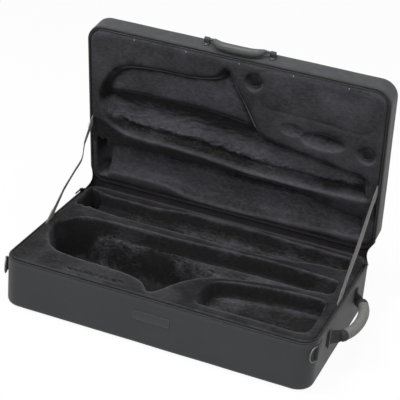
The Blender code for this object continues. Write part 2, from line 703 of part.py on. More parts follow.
def add_lid_lining(case):
    """Make the lid's lining: a backing pad, pads round the recesses, dimples and buttons."""
    backing = floor_blank(LID_FLOOR_FACE, LID_FLOOR_FACE + LID_FLOOR_PAD)
    case.add("lid_backing_pad", backing, "plush", parent="lid")
    high = LID_FLOOR_FACE - SEAT_GAP
    plan = zones(
        LID_ALTO_BOW_SHARES, LID_ALTO_BELL_SHARES, LID_ALTO_MOUTH_SHARES,
        LID_ALTO_NECK_SHARES, LID_ALTO_BACK_SHARES, LID_NECK_LINE_SHARE,
    )
    names = {
        "front": "lid_front_pad", "bell": "lid_bell_pad", "side": "lid_side_pad",
        "left": "lid_left_pad", "centre": "lid_centre_ridge", "right": "lid_right_pad",
        "rear": "lid_rear_pad",
    }
    places = [point(*pair) for pair in BUTTON_PLACE_SHARES]
    radius = BUTTON_DIMPLE_RADIUS
    for zone, name in names.items():
        mesh = pad(case, plan[zone], LID_PAD_FACE, high)
        if zone == "bell":
            cutter = dimple(radius, radius, BUTTON_DIMPLE_DEPTH, *places[0])
            mesh = case.combine(mesh, cutter, "DIFFERENCE")
        if zone == "side":
            cutter = dimple(radius, radius, BUTTON_DIMPLE_DEPTH, *places[1])
            mesh = case.combine(mesh, cutter, "DIFFERENCE")
            oval = (OVAL_DIMPLE_LENGTH / 2, OVAL_DIMPLE_WIDTH / 2, OVAL_DIMPLE_DEPTH)
            mesh = case.combine(mesh, dimple(*oval, *point(*OVAL_PLACE_SHARES)), "DIFFERENCE")
        add_pad(case, name, mesh, parent="lid")


def opened(y, z):
    """Turn a place on the shut lid to where it lies with the lid open."""
    turn_y = y - HINGE_Y
    turn_z = z - MEETING_HEIGHT
    cosine = math.cos(LID_OPEN_ANGLE)
    sine = math.sin(LID_OPEN_ANGLE)
    return (
        HINGE_Y + turn_y * cosine + turn_z * sine,
        MEETING_HEIGHT - turn_y * sine + turn_z * cosine,
    )


def add_stays(case):
    """Make the two webbing straps that stop the lid, tucked between shell and lining."""
    base_y = (BASE_STAY_SHARE - 0.5) * CASE_WIDTH
    lid_y = (LID_STAY_SHARE - 0.5) * CASE_WIDTH
    start = (base_y, MEETING_HEIGHT)
    end = opened(lid_y, MEETING_HEIGHT)
    run = (end[0] - start[0], end[1] - start[1])
    length = math.hypot(*run)
    along = (run[0] / length, run[1] / length)
    across = (-along[1] * STAY_WIDTH / 2, along[0] * STAY_WIDTH / 2)
    inset = PAD_INSET_ENDS - SEAT_GAP - STAY_THICKNESS / 2
    for side, name, bow in ((-1, "left_stay", STAY_BOW), (1, "right_stay", 0.0)):
        work = bmesh.new()
        rows = []
        for step in range(STAY_STEPS + 1):
            t = step / STAY_STEPS
            travel = -STAY_TUCK + t * (length + 2 * STAY_TUCK)
            share = min(max(travel / length, 0.0), 1.0)
            inward = -side * bow * math.sin(math.pi * share) ** 2
            y = start[0] + along[0] * travel
            z = start[1] + along[1] * travel
            x = side * (HALF_LENGTH - inset) + inward
            rows.append([
                work.verts.new((x + face * STAY_THICKNESS / 2, y + edge * across[0], z + edge * across[1]))
                for face, edge in ((-1, -1), (1, -1), (1, 1), (-1, 1))
            ])
        for lower, upper in zip(rows, rows[1:]):
            for k in range(4):
                work.faces.new((lower[k], lower[(k + 1) % 4], upper[(k + 1) % 4], upper[k]))
        work.faces.new(rows[0][::-1])
        work.faces.new(rows[-1])
        bmesh.ops.recalc_face_normals(work, faces=work.faces)
        mesh = bpy.data.meshes.new(name)
        work.to_mesh(mesh)
        work.free()
        case.add(name, mesh, "webbing")


def add_hinge_strip(case):
    """Make the fabric hinge: one strip from the base's back wall to the lid's back wall."""
    base_face = HALF_WIDTH + SEAT_GAP
    inner = [(base_face, BASE_HEIGHT - STRIP_LAP), (base_face, BASE_HEIGHT)]
    lid_line = [opened(base_face, LID_RIM), opened(base_face, LID_RIM + STRIP_LAP)]
    middle = opened(base_face, MEETING_HEIGHT)
    inner.append(((base_face + middle[0]) / 2 + SEAT_GAP, (MEETING_HEIGHT + middle[1]) / 2))
    inner += lid_line
    outer = []
    for index, (y, z) in enumerate(inner):
        before = inner[max(index - 1, 0)]
        after = inner[min(index + 1, len(inner) - 1)]
        run = (after[0] - before[0], after[1] - before[1])
        length = math.hypot(*run)
        outer.append((y + run[1] / length * STRIP_THICKNESS, z - run[0] / length * STRIP_THICKNESS))
    profile = inner + outer[::-1]
    width = CASE_LENGTH - 2 * (CORNER_RADIUS + STRIP_END_SETBACK)
    mesh = slab_mesh("hinge_strip", [profile], width)
    mesh.transform(Matrix(((0, 0, 1, -width / 2), (1, 0, 0, 0), (0, 1, 0, 0), (0, 0, 0, 1))))
    case.add("hinge_strip", mesh, "dark_webbing")


def add_label(case):
    """Make the bare patch on the front, with a raised border."""
    outline = rounded_rectangle(LABEL_WIDTH / 2, LABEL_HEIGHT / 2, LABEL_CORNER, 3)
    plate = slab_mesh("label", [outline], LABEL_THICKNESS)
    half_x = LABEL_WIDTH / 2 - LABEL_BORDER
    half_y = LABEL_HEIGHT / 2 - LABEL_BORDER
    field = slab_mesh("field", [rounded_rectangle(half_x, half_y, LABEL_CORNER / 2, 3)], CUT_OVERRUN)
    plate = case.combine(plate, moved(field, z=LABEL_THICKNESS - LABEL_RECESS), "DIFFERENCE")
    place = (0.0, -HALF_WIDTH - SEAT_GAP, LABEL_CENTRE_HEIGHT)
    case.add("label_patch", turned(plate, "X", math.radians(90)), "label", place=place)


def ring_place(side):
    """Give the plan place of a strap ring's bar, and the direction its ring lies in."""
    reach = CORNER_RADIUS + RING_STAND_OFF
    x = side * (HALF_LENGTH - CORNER_RADIUS + reach * math.cos(RING_CORNER_ANGLE))
    y = -HALF_WIDTH + CORNER_RADIUS - reach * math.sin(RING_CORNER_ANGLE)
    return x, y


def add_strap_rings(case):
    """Make the two rings for a shoulder strap and the webbing tabs that hold them."""
    for side, name in ((-1, "left"), (1, "right")):
        x, y = ring_place(side)
        pivot_name = f"{name}_ring"
        case.pivot(pivot_name, (x, y, RING_HEIGHT))
        half = RING_WIDTH / 2
        heading = (-side * math.sin(RING_CORNER_ANGLE), -math.cos(RING_CORNER_ANGLE))
        points = [(0.0, -half), (0.0, half)]
        for step in range(1, 12):
            angle = math.radians(90) - math.radians(180) * step / 12
            points.append((RING_DEPTH * math.cos(angle), half * math.sin(angle)))
        path = [(out * heading[0], out * heading[1], up) for out, up in points]
        ring = tube_mesh("ring", path, RING_WIRE, closed=True)
        case.add(f"{name}_strap_ring", ring, "ring_metal", place=(x, y, RING_HEIGHT), parent=pivot_name)
        add_ring_tab(case, side, name, x, y)


def add_ring_tab(case, side, name, bar_x, bar_y):
    """Make the webbing tab that wraps a ring's bar and lies on the corner of the shell."""
    hole = RING_WIRE + RING_EYE_CLEARANCE
    outer = hole + RING_TAB_THICKNESS
    near = CORNER_RADIUS + SEAT_GAP
    far = near + RING_TAB_THICKNESS
    centre_x = HALF_LENGTH - CORNER_RADIUS
    centre_y = -HALF_WIDTH + CORNER_RADIUS
    steps = 3
    angles = [RING_CORNER_ANGLE * (1 - n / steps) for n in range(steps + 1)]
    inner = [(centre_x + near * math.cos(a), centre_y - near * math.sin(a)) for a in angles]
    outside = [(centre_x + far * math.cos(a), centre_y - far * math.sin(a)) for a in angles]
    tail_y = centre_y + RING_TAB_LENGTH - CORNER_RADIUS * math.sin(RING_CORNER_ANGLE)
    inner.append((centre_x + near, tail_y))
    outside.append((centre_x + far, tail_y))
    loop = [(side * px, py) for px, py in inner + outside[::-1]]
    strap = slab_mesh("tab", [loop], RING_TAB_WIDTH)
    eye = slab_mesh("eye", [circle(bar_x, bar_y, outer)], RING_TAB_WIDTH)
    tab = case.combine(strap, eye, "UNION")
    bore = slab_mesh("bore", [circle(bar_x, bar_y, hole)], RING_TAB_WIDTH + 2 * CUT_OVERRUN)
    tab = case.combine(tab, moved(bore, z=-CUT_OVERRUN), "DIFFERENCE")
    keep = slab_mesh("keep", [corner_keep_out(side)], RING_TAB_WIDTH + 2 * CUT_OVERRUN)
    tab = case.combine(tab, moved(keep, z=-CUT_OVERRUN), "DIFFERENCE")
    place = (0.0, 0.0, RING_HEIGHT - RING_TAB_WIDTH / 2)
    case.add(f"{name}_ring_tab", tab, "dark_webbing", place=place)


def corner_keep_out(side):
    """Give the outline of the shell's front corner, which the ring tab stays clear of."""
    reach = CORNER_RADIUS + SEAT_GAP
    centre_x = HALF_LENGTH - CORNER_RADIUS
    centre_y = -HALF_WIDTH + CORNER_RADIUS
    line = [(centre_x, centre_y + CORNER_RADIUS), (centre_x, centre_y - reach)]
    for step in range(CORNER_STEPS * 2 + 1):
        angle = math.radians(90) * (step / (CORNER_STEPS * 2) - 1)
        line.append((centre_x + reach * math.cos(angle), centre_y + reach * math.sin(angle)))
    line.append((centre_x + reach, centre_y + CORNER_RADIUS))
    return [(side * px, py) for px, py in line]


def end_handle_line():
    """Give the centre line of the end handle's padded part in the plan."""
    middle = (END_HANDLE_FRONT + END_HANDLE_BACK) / 2
    half = (END_HANDLE_BACK - END_HANDLE_FRONT) / 2
    count = 2 * END_GRIP_RIBS
    points = []
    for step in range(count + 1):
        angle = math.radians(155) * (step / count) + math.radians(12.5)
        y = middle - half * 0.86 * math.cos(angle)
        x = HALF_LENGTH + END_HANDLE_REACH * math.sin(angle) ** 0.8
        points.append((x, y))
    return points


def add_end_handle(case):
    """Make the padded handle on the right end, its two webbing tabs and their anchors."""
    line = end_handle_line()
    grip_line = line[4:-4]
    radii = [END_GRIP_RADIUS if index % 2 else END_GRIP_GROOVE for index in range(len(grip_line))]
    grip = tube_mesh("grip", [(x, y, 0.0) for x, y in grip_line], END_GRIP_RADIUS, radii)
    case.add("end_handle_grip", grip, "grip", place=(0.0, 0.0, END_HANDLE_HEIGHT))
    wall = HALF_LENGTH + SEAT_GAP
    thick = END_TAB_THICKNESS
    for name, end, toward in (("front", line[:5], -1), ("back", line[-5:][::-1], 1)):
        foot_y = end[0][1] + toward * END_TAB_FOOT * 0.5
        centre = [(wall + thick / 2, foot_y + toward * END_TAB_FOOT * 0.6), (wall + thick / 2, foot_y)]
        centre += [((wall + thick / 2 + end[1][0]) / 2, end[0][1] + toward * thick)]
        centre += [end[2], end[4]]
        near = []
        far = []
        for index, (x, y) in enumerate(centre):
            before = centre[max(index - 1, 0)]
            after = centre[min(index + 1, len(centre) - 1)]
            run = (after[0] - before[0], after[1] - before[1])
            length = math.hypot(*run)
            normal = (run[1] / length * thick / 2, -run[0] / length * thick / 2)
            near.append((x + normal[0], y + normal[1]))
            far.append((x - normal[0], y - normal[1]))
        last = centre[-1]
        run = (last[0] - centre[-2][0], last[1] - centre[-2][1])
        length = math.hypot(*run)
        back_off = (run[0] / length * SEAT_GAP, run[1] / length * SEAT_GAP)
        near[-1] = (near[-1][0] - back_off[0], near[-1][1] - back_off[1])
        far[-1] = (far[-1][0] - back_off[0], far[-1][1] - back_off[1])
        tab = slab_mesh("tab", [near + far[::-1]], END_TAB_WIDTH)
        place = (0.0, 0.0, END_HANDLE_HEIGHT - END_TAB_WIDTH / 2)
        case.add(f"end_handle_{name}_tab", tab, "dark_webbing", place=place)
        anchor = box_mesh("anchor", ANCHOR_THICKNESS, ANCHOR_WIDTH, ANCHOR_HEIGHT, rounding=0.001)
        anchor_y = foot_y + toward * END_TAB_FOOT * 0.3
        anchor_x = wall + thick + SEAT_GAP + ANCHOR_THICKNESS / 2
        place = (anchor_x, anchor_y, END_HANDLE_HEIGHT)
        case.add(f"end_handle_{name}_anchor", anchor, "dark_webbing", place=place)


def add_carry_handle(case):
    """Make the padded carry handle, which swings in two brackets on the lid's front wall."""
    pivot_y = -HALF_WIDTH - CARRY_STAND_OFF
    pivot_z = LID_RIM + CARRY_PIVOT_HEIGHT - BAND_HALF
    case.pivot("carry_pivot", (0.0, pivot_y, pivot_z), parent="lid")
    pin = BRACKET_WIDTH * 0.6
    reach = CARRY_HALF_SPAN - BRACKET_WIDTH / 2
    points = []
    radii = []
    for side in (-1, 1):
        half = [
            (side * (reach + pin), 0.0, CARRY_PIN_RADIUS),
            (side * (reach - 0.2 * pin), 0.0, CARRY_PIN_RADIUS),
            (side * (reach - 0.5 * pin), -0.10 * CARRY_DROP, 1.6 * CARRY_PIN_RADIUS),
            (side * (reach - 1.1 * pin), -0.45 * CARRY_DROP, 0.75 * CARRY_GRIP_RADIUS),
            (side * (reach - 2.0 * pin), -0.80 * CARRY_DROP, 0.95 * CARRY_GRIP_RADIUS),
            (side * (reach - 3.6 * pin), -CARRY_DROP, CARRY_GRIP_RADIUS),
        ]
        if side > 0:
            half = half[::-1]
        points += [(x, 0.0, z) for x, z, _ in half]
        radii += [radius for _, _, radius in half]
    handle = tube_mesh("handle", points, CARRY_GRIP_RADIUS, radii, resolution=3)
    case.add("carry_handle", handle, "grip", place=(0.0, pivot_y, pivot_z), parent="carry_pivot")
    add_carry_brackets(case, pivot_y, pivot_z)


def add_carry_brackets(case, pivot_y, pivot_z):
    """Make the brackets that hold the carry handle's pins, and their rivets."""
    wall_y = -HALF_WIDTH - SEAT_GAP
    depth = wall_y - pivot_y + BRACKET_HEIGHT / 2 - BRACKET_PLATE
    for side, name in ((-1, "left"), (1, "right")):
        x = side * (CARRY_HALF_SPAN + BRACKET_WIDTH * 0.25)
        tall = BRACKET_HEIGHT + 2 * BRACKET_FLANGE
        plate = box_mesh("plate", BRACKET_WIDTH, BRACKET_PLATE, tall, BRACKET_PLATE / 3)
        moved(plate, x, wall_y - BRACKET_PLATE / 2, pivot_z)
        body = box_mesh("body", BRACKET_WIDTH, depth, BRACKET_HEIGHT, BRACKET_PLATE)
        moved(body, x, wall_y - BRACKET_PLATE - depth / 2 + BRACKET_PLATE / 2, pivot_z)
        bracket = case.combine(plate, body, "UNION")
        hole = slab_mesh("hole", [circle(0.0, 0.0, CARRY_PIN_RADIUS + CARRY_PIN_CLEARANCE)], BRACKET_WIDTH)
        hole = moved(turned(hole, "Y", math.radians(90)), y=pivot_y, z=pivot_z)
        start = x - BRACKET_WIDTH / 2 - CUT_OVERRUN if side > 0 else x + BRACKET_WIDTH / 2 + CUT_OVERRUN
        start -= 0.0 if side > 0 else BRACKET_WIDTH
        bracket = case.combine(bracket, moved(hole, x=start), "DIFFERENCE")
        case.add(f"{name}_carry_bracket", bracket, "dark_webbing", parent="lid")
        for up, level_name in ((-1, "outer"), (1, "inner")):
            head = slab_mesh("rivet", [circle(0.0, 0.0, RIVET_RADIUS, 10)], RIVET_HEIGHT)
            turned(head, "X", math.radians(90))
            level = pivot_z + up * (BRACKET_HEIGHT + BRACKET_FLANGE) / 2
            place = (x, wall_y - BRACKET_PLATE - SEAT_GAP, level)
            rivet_name = f"{name}_{level_name}_bracket_rivet"
            case.add(rivet_name, head, "ring_metal", place=place, parent="lid")


def add_zip_sliders(case):
    """Make the two zip sliders, parked at the hinge ends of the zip, and their pulls."""
    half_channel = TEETH_WIDTH / 2 + SLIDER_CLEARANCE
    centre_inset = TAPE_INSET + TAPE_THICKNESS / 2
    half_web = SLIDER_WEB / 2
    plate = half_channel + SLIDER_PLATE
    tall = SLIDER_HALF_HEIGHT
    profile = [
        (-plate, -tall), (-half_channel, -tall), (-half_channel, -half_web), (half_channel, -half_web),
        (half_channel, -tall), (plate, -tall), (plate, tall), (half_channel, tall),
        (half_channel, half_web), (-half_channel, half_web), (-half_channel, tall), (-plate, tall),
    ]
    ear_reach = centre_inset - plate
    pin_inset = ear_reach - PULL_EYE_RADIUS - SLIDER_CLEARANCE
    parked_y = HALF_WIDTH - CORNER_RADIUS - TAPE_END_SETBACK - SLIDER_LENGTH / 2
    for side, name in ((-1, "left"), (1, "right")):
        body = slab_mesh("slider", [profile], SLIDER_LENGTH)
        body = moved(turned(body, "X", math.radians(90)), y=SLIDER_LENGTH / 2)
        x = side * (HALF_LENGTH - centre_inset)
        pin_out = side * (centre_inset - pin_inset)
        meshes = [body]
        for up in (-1, 1):
            level = up * (PULL_HEIGHT / 2 + SLIDER_CLEARANCE + EAR_THICKNESS / 2)
            out = abs(pin_out) + PULL_PIN_RADIUS
            ear = box_mesh("ear", out - half_channel, 2 * PULL_EYE_RADIUS, EAR_THICKNESS)
            meshes.append(moved(ear, side * (out + half_channel) / 2, 0.0, level))
        height = PULL_HEIGHT + 2 * SLIDER_CLEARANCE + EAR_THICKNESS
        pin = slab_mesh("pin", [circle(pin_out, 0.0, PULL_PIN_RADIUS, 10)], height)
        meshes.append(moved(pin, z=-height / 2))
        slider = meshes[0]
        for extra in meshes[1:]:
            slider = case.combine(slider, extra, "UNION")
        place = (x, parked_y, MEETING_HEIGHT)
        case.pivot(f"{name}_slider", place)
        case.add(f"{name}_zip_slider", slider, "zip_metal", place=place, parent=f"{name}_slider")
        pull_place = (x + pin_out, parked_y, MEETING_HEIGHT)
        case.pivot(f"{name}_pull", pull_place, parent=f"{name}_slider")
        pull = slab_mesh("pull", pull_outline(), PULL_HEIGHT)
        moved(pull, z=-PULL_HEIGHT / 2)
        case.add(f"{name}_zip_pull", pull, "zip_metal", place=pull_place, parent=f"{name}_pull")


def pull_outline():
    """Give the plan of a zip pull: an eye round its pin and a flat tongue towards the front."""
    half = PULL_THICKNESS / 2
    start = math.asin(half / PULL_EYE_RADIUS)
    steps = 12
    eye = []
    for step in range(steps + 1):
        angle = math.radians(-90) + start + (math.tau - 2 * start) * step / steps
        eye.append((PULL_EYE_RADIUS * math.cos(angle), PULL_EYE_RADIUS * math.sin(angle)))
    outline = eye + [(-half, -PULL_LENGTH), (half, -PULL_LENGTH)]
    return [outline, circle(0.0, 0.0, PULL_HOLE_RADIUS, 12)]


def add_lid_trim(case):
    """Make the tacks along the lid's front rim and the buttons in its lining."""
    for number in range(TACK_COUNT):
        x = TACK_OFFSET + (number - TACK_COUNT // 2) * TACK_SPACING
        head = slab_mesh("tack", [circle(0.0, 0.0, TACK_RADIUS, 8)], TACK_HEIGHT)
        y = -HALF_WIDTH + PAD_INSET_SIDES + PAD_ROUNDING + 2 * TACK_RADIUS
        place = (x, y, LID_PAD_FACE - SEAT_GAP - TACK_HEIGHT)
        case.add(f"lid_rim_tack_{number + 1}", head, "tack_metal", place=place, parent="lid")
    for number, shares in enumerate(BUTTON_PLACE_SHARES):
        x, y = point(*shares)
        button = slab_mesh("button", [circle(0.0, 0.0, BUTTON_RADIUS)], BUTTON_HEIGHT)
        level = LID_PAD_FACE + BUTTON_DIMPLE_DEPTH - BUTTON_HEIGHT - SEAT_GAP
        seat = BUTTON_DIMPLE_DEPTH * (1 - math.sqrt(1 - (BUTTON_RADIUS / BUTTON_DIMPLE_RADIUS) ** 2))
        place = (x, y, level - seat)
        case.add(f"lid_lining_button_{number + 1}", button, "plush", place=place, parent="lid")


def main():
    """Build the case."""
    clear_scene()
    case = Case()
    case.pivot("lid", (0.0, HINGE_Y, MEETING_HEIGHT), turn=(-LID_OPEN_ANGLE, 0.0, 0.0))
    add_shells(case)
    add_zip_band(case)
    add_base_lining(case)
    add_lid_lining(case)
    add_stays(case)
    add_hinge_strip(case)
    add_label(case)
    add_strap_rings(case)
    add_end_handle(case)
    add_carry_handle(case)
    add_zip_sliders(case)
    add_lid_trim(case)


main()
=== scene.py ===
"""Look of the double saxophone case: fine meshes, finishes, studio light and camera."""
import json
import logging
import math
from dataclasses import dataclass, field
from enum import Enum
from typing import Callable, Iterable, Sequence

import bmesh
import bpy
import numpy as np
from mathutils import Matrix, Vector, noise


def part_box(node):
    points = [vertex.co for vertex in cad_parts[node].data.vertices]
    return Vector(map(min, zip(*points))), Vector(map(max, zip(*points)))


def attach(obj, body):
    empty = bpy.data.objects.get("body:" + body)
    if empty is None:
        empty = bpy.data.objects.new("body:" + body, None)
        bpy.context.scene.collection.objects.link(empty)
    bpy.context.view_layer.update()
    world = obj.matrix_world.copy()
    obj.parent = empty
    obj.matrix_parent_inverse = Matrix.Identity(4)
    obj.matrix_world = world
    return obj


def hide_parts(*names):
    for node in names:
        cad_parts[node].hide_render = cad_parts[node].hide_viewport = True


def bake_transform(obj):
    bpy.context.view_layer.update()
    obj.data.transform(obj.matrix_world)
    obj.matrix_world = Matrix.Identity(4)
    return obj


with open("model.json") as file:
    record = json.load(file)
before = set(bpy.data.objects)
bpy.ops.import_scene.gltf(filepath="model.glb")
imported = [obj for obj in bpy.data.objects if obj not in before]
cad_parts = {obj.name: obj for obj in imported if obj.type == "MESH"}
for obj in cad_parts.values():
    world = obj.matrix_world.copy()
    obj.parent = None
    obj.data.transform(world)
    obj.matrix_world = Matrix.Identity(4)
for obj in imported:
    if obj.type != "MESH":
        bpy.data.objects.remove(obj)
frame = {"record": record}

logging.basicConfig(level=logging.INFO, format="%(name)s: %(message)s")
LOG = logging.getLogger("case")

MM = 0.001
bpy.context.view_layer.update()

Point = tuple[float, float, float]
Pair = tuple[float, float]


class Half(Enum):
    """The two halves of the case."""

    BASE = "base"
    LID = "lid"


def low_corner(node: str) -> Vector:
    """Give the lowest corner of a CAD node."""
    return Vector(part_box(node)[0])


def high_corner(node: str) -> Vector:
    """Give the highest corner of a CAD node."""
    return Vector(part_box(node)[1])


def joint(name: str) -> dict:
    """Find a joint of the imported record.

    Args:
        name: The joint's name.

    Returns:
        The joint's entry in the record.
    """
    return next(entry for entry in frame["record"]["behaviour"]["joints"] if entry["name"] == name)


@dataclass
class Plan:
    """Leading sizes of the case, read from the frame."""

    length: float = high_corner("base_shell").x - low_corner("base_shell").x
    width: float = high_corner("base_shell").y - low_corner("base_shell").y
    base_height: float = high_corner("base_shell").z
    hinge: Vector = field(default_factory=lambda: Vector(joint("lid_hinge")["pos_m"]))
    open_angle: float = math.radians(joint("lid_hinge")["range_deg"][1])
    corner: float = 40 * MM
    edge: float = 12 * MM
    wall: float = 6 * MM
    lid_height: float = 56 * MM
    pad_drop: float = 2 * MM

    @property
    def band(self) -> float:
        """Height of the zip band of one half."""
        return self.hinge.z - self.base_height

    def height(self, half: Half) -> float:
        """Height of a half's shell, from its closed side to its rim."""
        return self.base_height if half is Half.BASE else self.lid_height

    def pad_face(self, half: Half) -> float:
        """Height of a half's lining above its closed side."""
        return self.height(half) + self.band - self.pad_drop

    def matrix(self, half: Half) -> Matrix:
        """Give the matrix that puts a half's own coordinates into the row frame.

        Args:
            half: The half. Its own heights run from its closed side towards the other half.

        Returns:
            The matrix. The lid's one turns faces inside out, because it mirrors the height.
        """
        if half is Half.BASE:
            return Matrix.Identity(4)
        top = self.hinge.z + self.band + self.lid_height
        shut = Matrix.Translation((0.0, 0.0, top)) @ Matrix.Diagonal((1.0, 1.0, -1.0, 1.0))
        swing = Matrix.Rotation(-self.open_angle, 4, "X")
        return Matrix.Translation(self.hinge) @ swing @ Matrix.Translation(-self.hinge) @ shut

    def place(self, length_share: float, width_share: float) -> Pair:
        """Turn shares of the length and width into a place in the plan."""
        return ((length_share - 0.5) * self.length, (width_share - 0.5) * self.width)


PLAN = Plan()


class Build:
    """Makes objects out of points and faces."""

    @staticmethod
    def thing(
        name: str,
        verts: Sequence[Sequence[float]],
        faces: Sequence[Sequence[int]],
        finish: bpy.types.Material,
        half: Half | None = None,
        sharp: float = 40.0,
    ) -> bpy.types.Object:
        """Make a mesh object.

        Args:
            name: The piece's name.
            verts: Its points.
            faces: Its faces.
            finish: Its material.
            half: The half whose own coordinates the points are in, or None for the row frame.
            sharp: Edges that turn by more than this many degrees stay sharp.

        Returns:
            The new object.
        """
        mesh = bpy.data.meshes.new(name)
        mesh.from_pydata([tuple(v) for v in verts], [], [tuple(int(i) for i in f) for f in faces])
        if half is not None:
            mesh.transform(PLAN.matrix(half))
        work = bmesh.new()
        work.from_mesh(mesh)
        bmesh.ops.recalc_face_normals(work, faces=work.faces)
        work.to_mesh(mesh)
        work.free()
        mesh.materials.append(finish)
        mesh.shade_smooth()
        mesh.set_sharp_from_angle(angle=math.radians(sharp))
        obj = bpy.data.objects.new(name, mesh)
        bpy.context.scene.collection.objects.link(obj)
        return obj

    @staticmethod
    def belt(here: int, there: int, size: int) -> list[list[int]]:
        """Return the quads between two closed rows of points, given each row's first index."""
        return [[here + k, here + (k + 1) % size, there + (k + 1) % size, there + k] for k in range(size)]

    @staticmethod
    def rounded_line(
        half_x: float, half_y: float, radius: float, spacing: float, steps: int = 12
    ) -> list[Pair]:
        """Follow a rectangle with round corners, counter-clockwise from its lower right corner.

        Args:
            half_x: Half its length.
            half_y: Half its width.
            radius: Its corner radius.
            spacing: The greatest distance between points on its straight runs.
            steps: Points on each corner.

        Returns:
            The points.
        """
        corners = []
        for quarter, (side_x, side_y) in enumerate([(1, -1), (1, 1), (-1, 1), (-1, -1)]):
            centre = (side_x * (half_x - radius), side_y * (half_y - radius))
            angles = [math.radians(90) * (quarter - 1 + n / steps) for n in range(steps + 1)]
            corners.append(
                [(centre[0] + radius * math.cos(a), centre[1] + radius * math.sin(a)) for a in angles]
            )
        points: list[Pair] = []
        for index, corner in enumerate(corners):
            points += corner
            start = corner[-1]
            end = corners[(index + 1) % 4][0]
            run = math.dist(start, end)
            count = max(int(run / spacing), 1)
            for n in range(1, count):
                share = n / count
                points.append(
                    (start[0] + (end[0] - start[0]) * share, start[1] + (end[1] - start[1]) * share)
                )
        return points

    @staticmethod
    def sweep(
        path: Sequence[Point],
        section: Sequence[Pair],
        up: Point = (0.0, 0.0, 1.0),
        closed: bool = False,
        scales: Sequence[Pair] | None = None,
    ) -> tuple[list[Vector], list[list[int]]]:
        """Carry a flat section along a path.

        Args:
            path: The points of the path.
            section: The section's points, first sideways and then along up.
            up: The direction that stays upright along the path.
            closed: Whether the path's end meets its start.
            scales: How much the section is stretched sideways and upwards at each point.

        Returns:
            The points and faces of the swept form, with capped ends.
        """
        points = [Vector(p) for p in path]
        count = len(points)
        verts: list[Vector] = []
        for index, centre in enumerate(points):
            before = points[(index - 1) % count] if closed or index else points[0]
            after = points[(index + 1) % count] if closed or index < count - 1 else points[-1]
            along = (after - before).normalized()
            side = along.cross(Vector(up)).normalized()
            over = side.cross(along).normalized()
            wide, tall = scales[index] if scales else (1.0, 1.0)
            verts += [centre + side * (a * wide) + over * (b * tall) for a, b in section]
        size = len(section)
        faces = []
        for ring in range(count if closed else count - 1):
            here = ring * size
            there = ((ring + 1) % count) * size
            faces += Build.belt(here, there, size)
        if not closed:
            faces.append(list(range(size))[::-1])
            faces.append([(count - 1) * size + k for k in range(size)])
        return verts, faces

    @staticmethod
    def disc(radius: float, sides: int = 12) -> list[Pair]:
        """Give the points of a circle."""
        return [
            (radius * math.cos(math.tau * n / sides), radius * math.sin(math.tau * n / sides))
            for n in range(sides)
        ]

    @staticmethod
    def strap_section(width: float, thickness: float) -> list[Pair]:
        """Give the section of a flat strap with soft edges, its width along up."""
        half = width / 2
        thin = thickness / 2
        edge = thin * 0.9
        return [
            (-thin, -half + edge), (-thin * 0.5, -half), (thin * 0.5, -half), (thin, -half + edge),
            (thin, half - edge), (thin * 0.5, half), (-thin * 0.5, half), (-thin, half - edge),
        ]

    @staticmethod
    def smooth_line(points: Sequence[Sequence[float]], steps: int) -> list[tuple[float, ...]]:
        """Run a Catmull-Rom curve through points.

        Args:
            points: The points that the curve passes.
            steps: New points on each stretch.

        Returns:
            The points of the curve.
        """
        line: list[tuple[float, ...]] = []
        for index in range(len(points) - 1):
            p0 = points[max(index - 1, 0)]
            p1 = points[index]
            p2 = points[index + 1]
            p3 = points[min(index + 2, len(points) - 1)]
            for step in range(steps):
                t = step / steps
                line.append(tuple(
                    0.5 * (
                        2 * b + (c - a) * t + (2 * a - 5 * b + 4 * c - d) * t**2
                        + (3 * b - a - 3 * c + d) * t**3
                    )
                    for a, b, c, d in zip(p0, p1, p2, p3)
                ))
        line.append(tuple(points[-1]))
        return line

    @staticmethod
    def dome(
        centre: Vector, up: Vector, radius: float, height: float, sides: int = 16
    ) -> tuple[list[Vector], list[list[int]]]:
        """Make a domed disc on a short rim.

        Args:
            centre: The middle of its foot.
            up: The direction that it rises in.
            radius: Its radius.
            height: Its height.
            sides: Points on its rim.

        Returns:
            The points and faces.
        """
        across = up.orthogonal().normalized()
        other = up.cross(across)
        verts: list[Vector] = []
        rings = [(1.0, 0.0), (1.0, 0.25), (0.94, 0.5), (0.78, 0.76), (0.5, 0.93), (0.22, 0.99)]
        for wide, tall in rings:
            for x, y in Build.disc(radius * wide, sides):
                verts.append(centre + across * x + other * y + up * (height * tall))
        faces = []
        for ring in range(len(rings) - 1):
            here = ring * sides
            faces += Build.belt(here, here + sides, sides)
        faces.append(list(range(sides))[::-1])
        faces.append([(len(rings) - 1) * sides + k for k in range(sides)])
        return verts, faces

